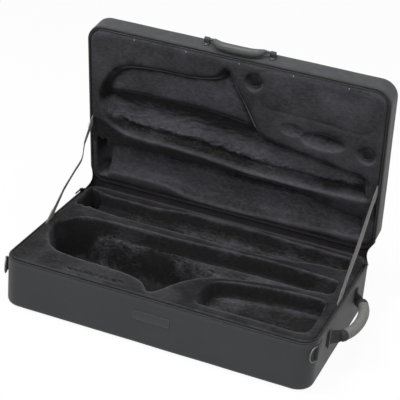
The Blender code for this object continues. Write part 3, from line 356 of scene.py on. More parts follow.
    @staticmethod
    def stitches(
        path: Sequence[Point], out: Callable[
            [Vector], Vector
        ], length: float, gap: float, radius: float, closed: bool
    ) -> tuple[list[Vector], list[list[int]]]:
        """Lay a row of stitches along a path.

        Args:
            path: The seam's points.
            out: Gives the direction out of the cloth at a point.
            length: A stitch's length.
            gap: The space between two stitches.
            radius: Half a stitch's width.
            closed: Whether the seam closes on itself.

        Returns:
            Points and faces of all the stitches.
        """
        line = [Vector(p) for p in path]
        if closed:
            line.append(line[0])
        verts: list[Vector] = []
        faces: list[list[int]] = []
        travelled = 0.0
        target = gap
        for start, end in zip(line, line[1:]):
            run = (end - start).length
            while run and travelled + run >= target + length:
                along = (end - start) / run
                centre = start + along * (target + length / 2 - travelled)
                normal = out(centre)
                side = along.cross(normal).normalized()
                base = len(verts)
                tip = along * (length / 2)
                body = along * (length / 4)
                verts += [centre - tip - normal * radius, centre + tip - normal * radius]
                for shift in (-body, body):
                    verts += [
                        centre + shift + side * radius, centre + shift + normal * (radius * 0.7),
                        centre + shift - side * radius, centre + shift - normal * radius,
                    ]
                for k in range(4):
                    n = (k + 1) % 4
                    faces.append([base + 2 + k, base + 2 + n, base + 6 + n, base + 6 + k])
                    faces.append([base, base + 2 + n, base + 2 + k])
                    faces.append([base + 1, base + 6 + k, base + 6 + n])
                target += length + gap
            travelled += run
        return verts, faces


class Ink:
    """Small helper that wires shader nodes."""

    def __init__(self, tree: bpy.types.NodeTree) -> None:
        self.tree = tree

    def node(self, kind: str, **values: object) -> bpy.types.Node:
        """Add a node and set its plain properties."""
        made = self.tree.nodes.new(kind)
        for key, value in values.items():
            setattr(made, key, value)
        return made

    def link(self, source: bpy.types.NodeSocket, target: bpy.types.NodeSocket) -> None:
        """Join two sockets."""
        self.tree.links.new(source, target)

    def math(
        self, operation: str, first: object, second: object = None, third: object = None
    ) -> bpy.types.NodeSocket:
        """Add a Math node.

        Args:
            operation: The node's operation.
            first: A socket or a number.
            second: A socket or a number.
            third: A socket or a number.

        Returns:
            The node's output.
        """
        made = self.node("ShaderNodeMath", operation=operation)
        for index, value in enumerate((first, second, third)):
            if value is None:
                continue
            if isinstance(value, bpy.types.NodeSocket):
                self.link(value, made.inputs[index])
            else:
                made.inputs[index].default_value = value
        return made.outputs[0]

    def ramp(
        self, value: bpy.types.NodeSocket, low: float, high: float, to_low: float = 0.0, to_high: float = 1.0
    ) -> bpy.types.NodeSocket:
        """Map a value from one range to another and clamp it."""
        made = self.node("ShaderNodeMapRange", clamp=True)
        self.link(value, made.inputs["Value"])
        made.inputs["From Min"].default_value = low
        made.inputs["From Max"].default_value = high
        made.inputs["To Min"].default_value = to_low
        made.inputs["To Max"].default_value = to_high
        return made.outputs[0]

    def noise(self, vector: bpy.types.NodeSocket, scale: object, detail: float = 3.0) -> bpy.types.NodeSocket:
        """Add a noise texture and give its value."""
        made = self.node("ShaderNodeTexNoise")
        self.link(vector, made.inputs["Vector"])
        if isinstance(scale, bpy.types.NodeSocket):
            self.link(scale, made.inputs["Scale"])
        else:
            made.inputs["Scale"].default_value = scale
        made.inputs["Detail"].default_value = detail
        return made.outputs["Fac"]

    def blend(self, fac: object, first: object, second: object) -> bpy.types.NodeSocket:
        """Mix two colours."""
        made = self.node("ShaderNodeMix", data_type="RGBA")
        for socket, value in ((made.inputs[0], fac), (made.inputs[6], first), (made.inputs[7], second)):
            if isinstance(value, bpy.types.NodeSocket):
                self.link(value, socket)
            elif isinstance(value, tuple):
                socket.default_value = (*value, 1.0)
            else:
                socket.default_value = value
        return made.outputs[2]


class Effects:
    """Shader node groups that several finishes share."""

    def __init__(self) -> None:
        self.weave = self._weave()
        self.pile = self._pile()
        self.wear = self._wear()

    @staticmethod
    def _group(
        name: str, inputs: dict[str, float], outputs: Iterable[str]
    ) -> tuple[bpy.types.NodeTree, Ink, dict, dict]:
        """Start a node group with named sockets.

        Args:
            name: The group's name.
            inputs: Names and usual values of its numbers.
            outputs: Names of the values it puts out.

        Returns:
            The group, its wiring helper, its input sockets and its output sockets.
        """
        tree = bpy.data.node_groups.new(name, "ShaderNodeTree")
        for key, value in inputs.items():
            socket = tree.interface.new_socket(name=key, in_out="INPUT", socket_type="NodeSocketFloat")
            socket.default_value = value
        for key in outputs:
            tree.interface.new_socket(name=key, in_out="OUTPUT", socket_type="NodeSocketFloat")
        ink = Ink(tree)
        start = ink.node("NodeGroupInput")
        end = ink.node("NodeGroupOutput")
        return tree, ink, {s.name: s for s in start.outputs}, {s.name: s for s in end.inputs}

    def _weave(self) -> bpy.types.NodeTree:
        """Make crossed threads on all three main planes, and the unevenness of the yarn."""
        tree, ink, given, wanted = self._group(
            "woven_threads", {"Threads": 900.0, "Slub": 0.4}, ("Height", "Shade")
        )
        place = ink.node("ShaderNodeTexCoord")
        split = ink.node("ShaderNodeSeparateXYZ")
        ink.link(place.outputs["Object"], split.inputs[0])
        normal = ink.node("ShaderNodeSeparateXYZ")
        ink.link(place.outputs["Normal"], normal.inputs[0])
        waves = []
        for axis in range(3):
            turn = ink.math("MULTIPLY", split.outputs[axis], given["Threads"])
            waves.append(ink.math("SINE", ink.math("MULTIPLY", turn, math.pi)))
        total = None
        for axis in range(3):
            pair = ink.math("MULTIPLY", waves[(axis + 1) % 3], waves[(axis + 2) % 3])
            facing = ink.math("POWER", ink.math("ABSOLUTE", normal.outputs[axis]), 4.0)
            share = ink.math("MULTIPLY", pair, facing)
            total = share if total is None else ink.math("ADD", total, share)
        slub = ink.noise(place.outputs["Object"], ink.math("MULTIPLY", given["Threads"], 0.25), 2.0)
        uneven = ink.math("MULTIPLY", ink.math("SUBTRACT", slub, 0.5), given["Slub"])
        height = ink.math("ADD", ink.math("MULTIPLY_ADD", total, 0.5, 0.5), uneven)
        ink.link(height, wanted["Height"])
        ink.link(ink.ramp(height, 0.0, 1.0, 0.55, 1.15), wanted["Shade"])
        return tree

    def _pile(self) -> bpy.types.NodeTree:
        """Make brushed pile: broad patches, tufts that lean one way, and single hairs."""
        tree, ink, given, wanted = self._group(
            "plush_pile", {"Hairs": 1500.0, "Patches": 11.0}, ("Height", "Brushed", "Tufts")
        )
        place = ink.node("ShaderNodeTexCoord")
        bent = ink.node("ShaderNodeVectorMath", operation="MULTIPLY_ADD")
        swirl = ink.node("ShaderNodeTexNoise")
        ink.link(place.outputs["Object"], swirl.inputs["Vector"])
        swirl.inputs["Scale"].default_value = 22.0
        swirl.inputs["Detail"].default_value = 2.0
        ink.link(swirl.outputs["Color"], bent.inputs[0])
        bent.inputs[1].default_value = (0.030, 0.030, 0.030)
        ink.link(place.outputs["Object"], bent.inputs[2])
        lean = ink.node("ShaderNodeMapping")
        ink.link(bent.outputs[0], lean.inputs["Vector"])
        lean.inputs["Rotation"].default_value = (0.0, 0.0, 0.2)
        lean.inputs["Scale"].default_value = (0.28, 0.75, 0.75)
        tufts = ink.noise(lean.outputs[0], 320.0, 5.0)
        hairs = ink.noise(lean.outputs[0], given["Hairs"], 3.0)
        broad = ink.noise(bent.outputs[0], given["Patches"], 4.0)
        ink.link(ink.ramp(broad, 0.38, 0.66), wanted["Brushed"])
        ink.link(ink.ramp(tufts, 0.34, 0.70), wanted["Tufts"])
        ink.link(
            ink.math("ADD", ink.math("MULTIPLY", tufts, 0.75), ink.math("MULTIPLY", hairs, 0.45)),
            wanted["Height"]
        )
        return tree

    def _wear(self) -> bpy.types.NodeTree:
        """Find edges that rub pale and places where dust lies."""
        tree, ink, given, wanted = self._group(
            "wear_and_dust", {"Reach": 0.6, "Spots": 60.0}, ("Edge", "Dust")
        )
        shape = ink.node("ShaderNodeNewGeometry")
        place = ink.node("ShaderNodeTexCoord")
        spots = ink.noise(place.outputs["Object"], given["Spots"], 5.0)
        edge = ink.ramp(shape.outputs["Pointiness"], 0.51, 0.56)
        ink.link(ink.math("MULTIPLY", ink.math("MULTIPLY", edge, spots), given["Reach"]), wanted["Edge"])
        split = ink.node("ShaderNodeSeparateXYZ")
        ink.link(place.outputs["Normal"], split.inputs[0])
        flat = ink.ramp(split.outputs["Z"], 0.2, 1.0)
        ink.link(ink.math("MULTIPLY", ink.ramp(spots, 0.45, 0.75), flat), wanted["Dust"])
        return tree


@dataclass(frozen=True)
class Cloth:
    """A woven finish."""

    name: str
    colour: tuple[float, float, float]
    pale: tuple[float, float, float]
    threads: float = 900.0
    roughness: float = 0.75
    bump: float = 0.25
    sheen: float = 0.15
    patch: float = 0.5
    specular: float = 0.3

    def material(self, effects: Effects) -> bpy.types.Material:
        """Make the material.

        Args:
            effects: The shared node groups.

        Returns:
            The material, its colour varied by weave, broad fading and worn edges.
        """
        made, ink, shader = new_material(self.name)
        weave = ink.node("ShaderNodeGroup", node_tree=effects.weave)
        weave.inputs["Threads"].default_value = self.threads
        wear = ink.node("ShaderNodeGroup", node_tree=effects.wear)
        place = ink.node("ShaderNodeTexCoord")
        fade = ink.ramp(ink.noise(place.outputs["Object"], 7.0, 4.0), 0.3, 0.7, 0.0, self.patch)
        base = ink.blend(fade, self.colour, self.pale)
        worn = ink.blend(wear.outputs["Edge"], base, tuple(min(c * 2.2, 1.0) for c in self.pale))
        dusty = ink.blend(
            ink.math("MULTIPLY", wear.outputs["Dust"], 0.5), worn,
            tuple(min(c * 1.5 + 0.004, 1.0) for c in self.pale)
        )
        shade = ink.node("ShaderNodeMix", data_type="RGBA", blend_type="MULTIPLY")
        shade.inputs[0].default_value = 1.0
        ink.link(dusty, shade.inputs[6])
        ink.link(weave.outputs["Shade"], shade.inputs[7])
        ink.link(shade.outputs[2], shader.inputs["Base Color"])
        rough = ink.ramp(weave.outputs["Height"], 0.0, 1.0, self.roughness + 0.08, self.roughness - 0.08)
        ink.link(rough, shader.inputs["Roughness"])
        bump = ink.node("ShaderNodeBump")
        bump.inputs["Strength"].default_value = self.bump
        bump.inputs["Distance"].default_value = 0.35 * MM
        ink.link(weave.outputs["Height"], bump.inputs["Height"])
        ink.link(bump.outputs["Normal"], shader.inputs["Normal"])
        shader.inputs["Sheen Weight"].default_value = self.sheen
        shader.inputs["Sheen Roughness"].default_value = 0.5
        shader.inputs["Specular IOR Level"].default_value = self.specular
        return made


@dataclass(frozen=True)
class Plush:
    """A velvet-like pile finish, its colour carrying painted light and shade."""

    name: str
    # dark is the painted-shade end of the colour blend; light is the painted-light end.
    dark: tuple[float, float, float]
    light: tuple[float, float, float]

    def material(self, effects: Effects) -> bpy.types.Material:
        """Make the material.

        Args:
            effects: The shared node groups.

        Returns:
            The material, with brushed patches, leaning tufts, a soft sheen, and painted light and shade that
            a per-point attribute blends between its dark and light colours.
        """
        made, ink, shader = new_material(self.name)
        pile = ink.node("ShaderNodeGroup", node_tree=effects.pile)
        shag = ink.node("ShaderNodeAttribute", attribute_name="nap")
        nap = shag.outputs["Fac"]
        # Painted light and shade: this per-point value blends the colour from its dark end to its light end.
        painted_shading = ink.node("ShaderNodeAttribute", attribute_name="painted_shading")
        patch = ink.math(
            "MULTIPLY", ink.math("SUBTRACT", pile.outputs["Brushed"], 0.5),
            ink.ramp(nap, 0.0, 1.0, 0.30, 0.85)
        )
        tuft = ink.math(
            "MULTIPLY", ink.math("SUBTRACT", pile.outputs["Tufts"], 0.5), ink.ramp(nap, 0.0, 1.0, 0.01, 0.36)
        )
        lit = ink.ramp(ink.math("ADD", painted_shading.outputs["Fac"], ink.math("ADD", patch, tuft)), 0.0, 1.0)
        colour = ink.blend(lit, self.dark, self.light)
        shade = ink.node("ShaderNodeMix", data_type="RGBA", blend_type="MULTIPLY")
        shade.inputs[0].default_value = 1.0
        ink.link(colour, shade.inputs[6])
        grain = ink.ramp(pile.outputs["Height"], 0.40, 0.80, -0.5, 0.5)
        ink.link(ink.math("MULTIPLY_ADD", grain, ink.ramp(nap, 0.0, 1.0, 0.15, 0.75), 0.95), shade.inputs[7])
        ink.link(shade.outputs[2], shader.inputs["Base Color"])
        ink.link(ink.ramp(pile.outputs["Tufts"], 0.0, 1.0, 0.95, 0.62), shader.inputs["Roughness"])
        bump = ink.node("ShaderNodeBump")
        bump.inputs["Strength"].default_value = 0.7
        bump.inputs["Distance"].default_value = 1.1 * MM
        shagged = ink.math("MULTIPLY", pile.outputs["Height"], ink.ramp(nap, 0.0, 1.0, 0.12, 1.0))
        ink.link(shagged, bump.inputs["Height"])
        ink.link(bump.outputs["Normal"], shader.inputs["Normal"])
        shader.inputs["Sheen Weight"].default_value = 0.16
        shader.inputs["Sheen Roughness"].default_value = 0.30
        shader.inputs["Sheen Tint"].default_value = (0.90, 0.90, 1.0, 1.0)
        shader.inputs["Specular IOR Level"].default_value = 0.25
        return made


@dataclass(frozen=True)
class Metal:
    """A plated metal finish."""

    name: str
    colour: tuple[float, float, float]
    roughness: float = 0.3

    def material(self, effects: Effects) -> bpy.types.Material:
        """Make the material.

        Args:
            effects: The shared node groups.

        Returns:
            The material, with handling marks in its roughness and pale worn edges.
        """
        made, ink, shader = new_material(self.name)
        wear = ink.node("ShaderNodeGroup", node_tree=effects.wear)
        place = ink.node("ShaderNodeTexCoord")
        marks = ink.noise(place.outputs["Object"], 320.0, 5.0)
        worn = ink.blend(wear.outputs["Edge"], self.colour, tuple(min(c * 1.8, 1.0) for c in self.colour))
        ink.link(worn, shader.inputs["Base Color"])
        ink.link(
            ink.ramp(marks, 0.3, 0.7, self.roughness - 0.08, self.roughness + 0.14),
            shader.inputs["Roughness"]
        )
        shader.inputs["Metallic"].default_value = 1.0
        bump = ink.node("ShaderNodeBump")
        bump.inputs["Strength"].default_value = 0.08
        bump.inputs["Distance"].default_value = 0.2 * MM
        ink.link(marks, bump.inputs["Height"])
        ink.link(bump.outputs["Normal"], shader.inputs["Normal"])
        return made


@dataclass(frozen=True)
class Moulded:
    """A moulded plastic or rubber finish."""

    name: str
    colour: tuple[float, float, float]
    roughness: float = 0.5
    grain: float = 900.0
    bump: float = 0.15

    def material(self, effects: Effects) -> bpy.types.Material:
        """Make the material.

        Args:
            effects: The shared node groups.

        Returns:
            The material, with a fine moulded grain and rubbed edges.
        """
        made, ink, shader = new_material(self.name)
        wear = ink.node("ShaderNodeGroup", node_tree=effects.wear)
        place = ink.node("ShaderNodeTexCoord")
        cells = ink.node("ShaderNodeTexVoronoi")
        cells.inputs["Scale"].default_value = self.grain
        ink.link(place.outputs["Object"], cells.inputs["Vector"])
        blotch = ink.noise(place.outputs["Object"], 40.0, 4.0)
        base = ink.blend(ink.ramp(blotch, 0.35, 0.65), self.colour, tuple(c * 1.25 for c in self.colour))
        worn = ink.blend(wear.outputs["Edge"], base, tuple(min(c * 2.5 + 0.02, 1.0) for c in self.colour))
        ink.link(worn, shader.inputs["Base Color"])
        ink.link(
            ink.ramp(blotch, 0.3, 0.7, self.roughness - 0.06, self.roughness + 0.10),
            shader.inputs["Roughness"]
        )
        bump = ink.node("ShaderNodeBump")
        bump.inputs["Strength"].default_value = self.bump
        bump.inputs["Distance"].default_value = 0.3 * MM
        ink.link(cells.outputs["Distance"], bump.inputs["Height"])
        ink.link(bump.outputs["Normal"], shader.inputs["Normal"])
        return made


def new_material(name: str) -> tuple[bpy.types.Material, Ink, bpy.types.Node]:
    """Start a material.

    Args:
        name: The material's name.

    Returns:
        The material, its wiring helper and its Principled shader.
    """
    made = bpy.data.materials.new(name)
    made.use_nodes = True
    return made, Ink(made.node_tree), made.node_tree.nodes["Principled BSDF"]


class Wardrobe:
    """Every finish of the case."""

    def __init__(self) -> None:
        effects = Effects()
        self.nylon = (
            Cloth("nylon_cover", (0.031, 0.032, 0.034), (0.043, 0.044, 0.047), 1100.0).material(effects)
        )
        self.piping = (
            Cloth("bound_piping", (0.011, 0.011, 0.012), (0.018, 0.018, 0.019), 1600.0, 0.6).material(effects)
        )
        self.tape = Cloth(
            "zip_tape_cloth", (0.018, 0.018, 0.019), (0.026, 0.026, 0.027), 1800.0, 0.85
        ).material(effects)
        self.webbing = Cloth(
            "stay_webbing_cloth", (0.095, 0.092, 0.086), (0.14, 0.136, 0.128), 700.0, 0.75, 0.5
        ).material(effects)
        self.dark_webbing = Cloth(
            "dark_webbing_cloth", (0.011, 0.011, 0.012), (0.020, 0.020, 0.021), 700.0, 0.7, 0.5, 0.08
        ).material(effects)
        self.hinge_cloth = Cloth(
            "hinge_cloth_black", (0.007, 0.006, 0.0075), (0.011, 0.010, 0.0115), 1400.0, 0.9, 0.3, 0.0,
            specular=0.12
        ).material(effects)
        self.grip_cloth = Cloth(
            "grip_cloth", (0.115, 0.117, 0.106), (0.170, 0.172, 0.160), 900.0, 0.7, 0.4
        ).material(effects)
        self.thread = Cloth(
            "sewing_thread", (0.060, 0.060, 0.062), (0.080, 0.080, 0.082), 2600.0, 0.6, 0.2
        ).material(effects)
        self.label = Moulded("label_patch_face", (0.024, 0.025, 0.0265), 0.68, 700.0).material(effects)
        # The plush's two colours are the painted-shade end and the painted-light end of its blend.
        self.plush = Plush("plush_lining", (0.0030, 0.0027, 0.0031), (0.062, 0.060, 0.070)).material(effects)
        self.coil = Moulded("zip_coil", (0.014, 0.014, 0.015), 0.35, 1500.0, 0.05).material(effects)
        self.black_plate = Metal("black_plate", (0.035, 0.034, 0.033), 0.42).material(effects)
        self.nickel = Metal("dark_nickel", (0.12, 0.118, 0.115), 0.34).material(effects)
        self.bright = Metal("bright_nickel", (0.42, 0.41, 0.40), 0.38).material(effects)
        self.plastic = Moulded("black_moulding", (0.012, 0.012, 0.013), 0.46).material(effects)
        self.grip = Moulded("carry_grip_skin", (0.040, 0.041, 0.041), 0.50, 600.0, 0.0).material(effects)


def cloth_wobble(point: Vector, scale: float, amount: float) -> float:
    """Give the unevenness of soft cloth at a point.

    Args:
        point: Where.
        scale: How close the waves are.
        amount: Their height.

    Returns:
        The shift along the surface's normal.
    """
    return amount * noise.fractal(point * scale, 1.0, 2.0, 3)


@dataclass
class Covers:
    """The two nylon-covered rigid shells, with the seams sewn on them."""

    finishes: Wardrobe
    spacing: float = 9 * MM
    rim_round: float = 1.6 * MM
    wobble: float = 0.55 * MM
    seam_drop: float = 6.5 * MM
    stitch: float = 3.2 * MM
    stitch_gap: float = 1.6 * MM
    thread: float = 0.35 * MM

    def profile(self, half: Half) -> list[Pair]:
        """Give a shell's section as inset from the outside and height, from skin middle to inner middle."""
        tall = PLAN.height(half)
        edge = PLAN.edge
        wall = PLAN.wall
        flat = [0.205, 0.185, 0.160, 0.130, 0.100, 0.070, 0.045, 0.028, 0.018]
        line = [(inset, 0.0) for inset in flat]
        line += [(edge * (1 - math.sin(a)), edge * (1 - math.cos(a))) for a in np.linspace(0, math.pi / 2, 7)]
        levels = np.linspace(edge, tall - self.rim_round, max(int((tall - edge) / self.spacing), 3) + 1)[1:]
        line += [(0.0, float(level)) for level in levels]
        arc = [a for a in np.linspace(0, math.pi / 2, 4)[1:]]
        line += [(self.rim_round * (1 - math.cos(a)), tall - self.rim_round * (1 - math.sin(a))) for a in arc]
        line += [
            (wall - self.rim_round * (1 - math.sin(a)), tall - self.rim_round * (1 - math.cos(a)))
            for a in [0.0, *arc]
        ]
        inner = edge - wall
        line += [(wall, tall * 0.5), (wall, wall + inner)]
        line += [(wall + inner * (1 - math.cos(a)), wall + inner * (1 - math.sin(a))) for a in arc]
        line += [(inset, wall) for inset in (0.03, 0.08, 0.14, 0.205)]
        return line

    def ring(self, inset: float) -> list[Pair]:
        """Follow the shell's outline at an inset."""
        radius = max(PLAN.corner - inset, 2 * MM)
        count_line = Build.rounded_line(PLAN.length / 2, PLAN.width / 2, PLAN.corner, self.spacing)
        half_x = PLAN.length / 2 - inset
        half_y = PLAN.width / 2 - inset
        line = []
        for x, y in count_line:
            inner_x = PLAN.length / 2 - PLAN.corner
            inner_y = PLAN.width / 2 - PLAN.corner
            core_x = max(min(x, inner_x), -inner_x) * (half_x - radius) / inner_x
            core_y = max(min(y, inner_y), -inner_y) * (half_y - radius) / inner_y
            out = Vector((x - max(min(x, inner_x), -inner_x), y - max(min(y, inner_y), -inner_y)))
            out = out.normalized() * radius
            line.append((core_x + out.x, core_y + out.y))
        return line

    def shell(self, half: Half) -> bpy.types.Object:
        """Build one shell.

        Args:
            half: Which half.

        Returns:
            The shell's object, standing for the CAD shell.
        """
        rings = [(self.ring(inset), height) for inset, height in self.profile(half)]
        size = len(rings[0][0])
        verts = []
        skin_rings = len(rings) - 10
        for index, (ring, height) in enumerate(rings):
            for x, y in ring:
                point = Vector((x, y, height))
                if index < skin_rings:
                    shift = cloth_wobble(
                        point + Vector((0.0, 0.0, 3.0 if half is Half.LID else 0.0)), 9.0, self.wobble
                    )
                    if height <= 0.0:
                        point.z += max(shift, 0.0) if half is Half.BASE else shift + self.wobble
                    else:
                        point.x -= shift * x / (PLAN.length / 2)
                        point.y -= shift * y / (PLAN.width / 2)
                verts.append(point)
        faces = []
        for ring in range(len(rings) - 1):
            here = ring * size
            there = here + size
            faces += Build.belt(here, there, size)
        faces.append(list(range(size))[::-1])
        faces.append([(len(rings) - 1) * size + k for k in range(size)])
        name = f"{half.value}_nylon_cover"
        made = Build.thing(name, verts, faces, self.finishes.nylon, half, 60.0)
        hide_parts(f"{half.value}_shell")
        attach(made, half.value)
        return made

    def seam(self, half: Half) -> bpy.types.Object:
        """Sew the row of stitches below the rim of one half."""
        level = PLAN.height(half) - self.seam_drop
        line = Build.rounded_line(PLAN.length / 2 + 0.1 * MM, PLAN.width / 2 + 0.1 * MM, PLAN.corner, 12 * MM)
        inner_x = PLAN.length / 2 - PLAN.corner
        inner_y = PLAN.width / 2 - PLAN.corner

        def out(point: Vector) -> Vector:
            """Give the wall's outward direction."""
            core = Vector(
                (max(min(point.x, inner_x), -inner_x), max(min(point.y, inner_y), -inner_y), point.z)
            )
            return (point - core).normalized()

        path = [(x, y, level) for x, y in line]
        verts, faces = Build.stitches(path, out, self.stitch, self.stitch_gap, self.thread, True)
        made = Build.thing(f"{half.value}_rim_stitches", verts, faces, self.finishes.thread, half, 80.0)
        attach(made, half.value)
        return made

    def build(self) -> list[bpy.types.Object]:
        """Build both covers and their seams."""
        return [part for half in Half for part in (self.shell(half), self.seam(half))]


@dataclass
class ZipBand:
    """Piping, zip tape and zip coil round the rims."""

    finishes: Wardrobe
    piping: float = 1.8 * MM
    tape_inset: float = 5.5 * MM
    tape_thick: float = 1.0 * MM
    tooth_pitch: float = 1.9 * MM
    tooth_width: float = 2.2 * MM
    tooth_length: float = 1.15 * MM

    def piping_tube(self, half: Half) -> bpy.types.Object:
        """Make the cord-filled binding on the rim."""
        inset = self.piping + 0.3 * MM
        line = Build.rounded_line(
            PLAN.length / 2 - inset, PLAN.width / 2 - inset, PLAN.corner - inset, 12 * MM
        )
        level = PLAN.height(half) + inset
        verts, faces = Build.sweep([(x, y, level) for x, y in line], Build.disc(self.piping, 14), closed=True)
        made = Build.thing(f"{half.value}_rim_piping", verts, faces, self.finishes.piping, half)
        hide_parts(f"{half.value}_piping")
        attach(made, half.value)
        return made

    def side_line(self, inset: float) -> list[Pair]:
        """Follow the zip from the left end round the front to the right end, at an inset."""
        end_y = high_corner("base_zip_tape").y
        line = Build.rounded_line(
            PLAN.length / 2 - inset, PLAN.width / 2 - inset, PLAN.corner - inset, 4 * MM
        )
        start = next(
            i for i,
            (x, y) in enumerate(line) if x < 0 and y < end_y - 1e-4 and x < -PLAN.length / 2 + inset + 1e-5
        )
        turned = line[start:] + line[:start]
        kept = [(x, y) for x, y in turned if y < end_y - 1e-4]
        half_x = PLAN.length / 2 - inset
        return [(-half_x, end_y), *kept, (half_x, end_y)]

    def tape(self, half: Half) -> bpy.types.Object:
        """Make the woven tape that carries the coil."""
        node = f"{half.value}_zip_tape"
        tall = PLAN.band - 4 * MM
        level = PLAN.height(half) + 0.3 * MM + tall / 2
        path = [(x, y, level) for x, y in self.side_line(self.tape_inset)]
        verts, faces = Build.sweep(path, Build.strap_section(tall, self.tape_thick))
        made = Build.thing(f"{half.value}_zip_tape_cloth", verts, faces, self.finishes.tape, half)
        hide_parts(node)
        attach(made, half.value)
        return made

    def coil(self, half: Half) -> bpy.types.Object:
        """Make the zip's coil as a close row of rounded teeth."""
        top = PLAN.height(half) + PLAN.band - 1.0 * MM
        bottom = top - 2.4 * MM
        line = [Vector((x, y, 0.0)) for x, y in self.side_line(self.tape_inset)]
        verts: list[Vector] = []
        faces: list[list[int]] = []
        travelled = 0.0
        target = self.tooth_pitch / 2
        for start, end in zip(line, line[1:]):
            run = (end - start).length
            along = (end - start).normalized()
            side = along.cross(Vector((0.0, 0.0, 1.0)))
            while target < travelled + run:
                centre = start + along * (target - travelled)
                base = len(verts)
                for level, wide, long in (
                    (bottom, 0.75, 0.8), (
                        bottom + 0.5 * MM, 1.0, 1.0
                    ), (top - 0.6 * MM, 1.0, 1.0), (top, 0.55, 0.7),
                ):
                    for a, b in ((-1, -1), (1, -1), (1, 1), (-1, 1)):
                        shift = (
                            side * (a * self.tooth_width / 2 * wide)
                            + along * (b * self.tooth_length / 2 * long)
                        )
                        verts.append(centre + shift + Vector((0.0, 0.0, level)))
                for layer in range(3):
                    low = base + 4 * layer
                    faces += Build.belt(low, low + 4, 4)
                faces.append([base + 3, base + 2, base + 1, base])
                faces.append([base + 12, base + 13, base + 14, base + 15])
                target += self.tooth_pitch
            travelled += run
        made = Build.thing(f"{half.value}_zip_coil", verts, faces, self.finishes.coil, half, 50.0)
        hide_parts(f"{half.value}_zip_teeth")
        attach(made, half.value)
        return made

    def build(self) -> list[bpy.types.Object]:
        """Build the band of both halves."""
        made = []
        for half in Half:
            made += [self.piping_tube(half), self.tape(half), self.coil(half)]
        return made


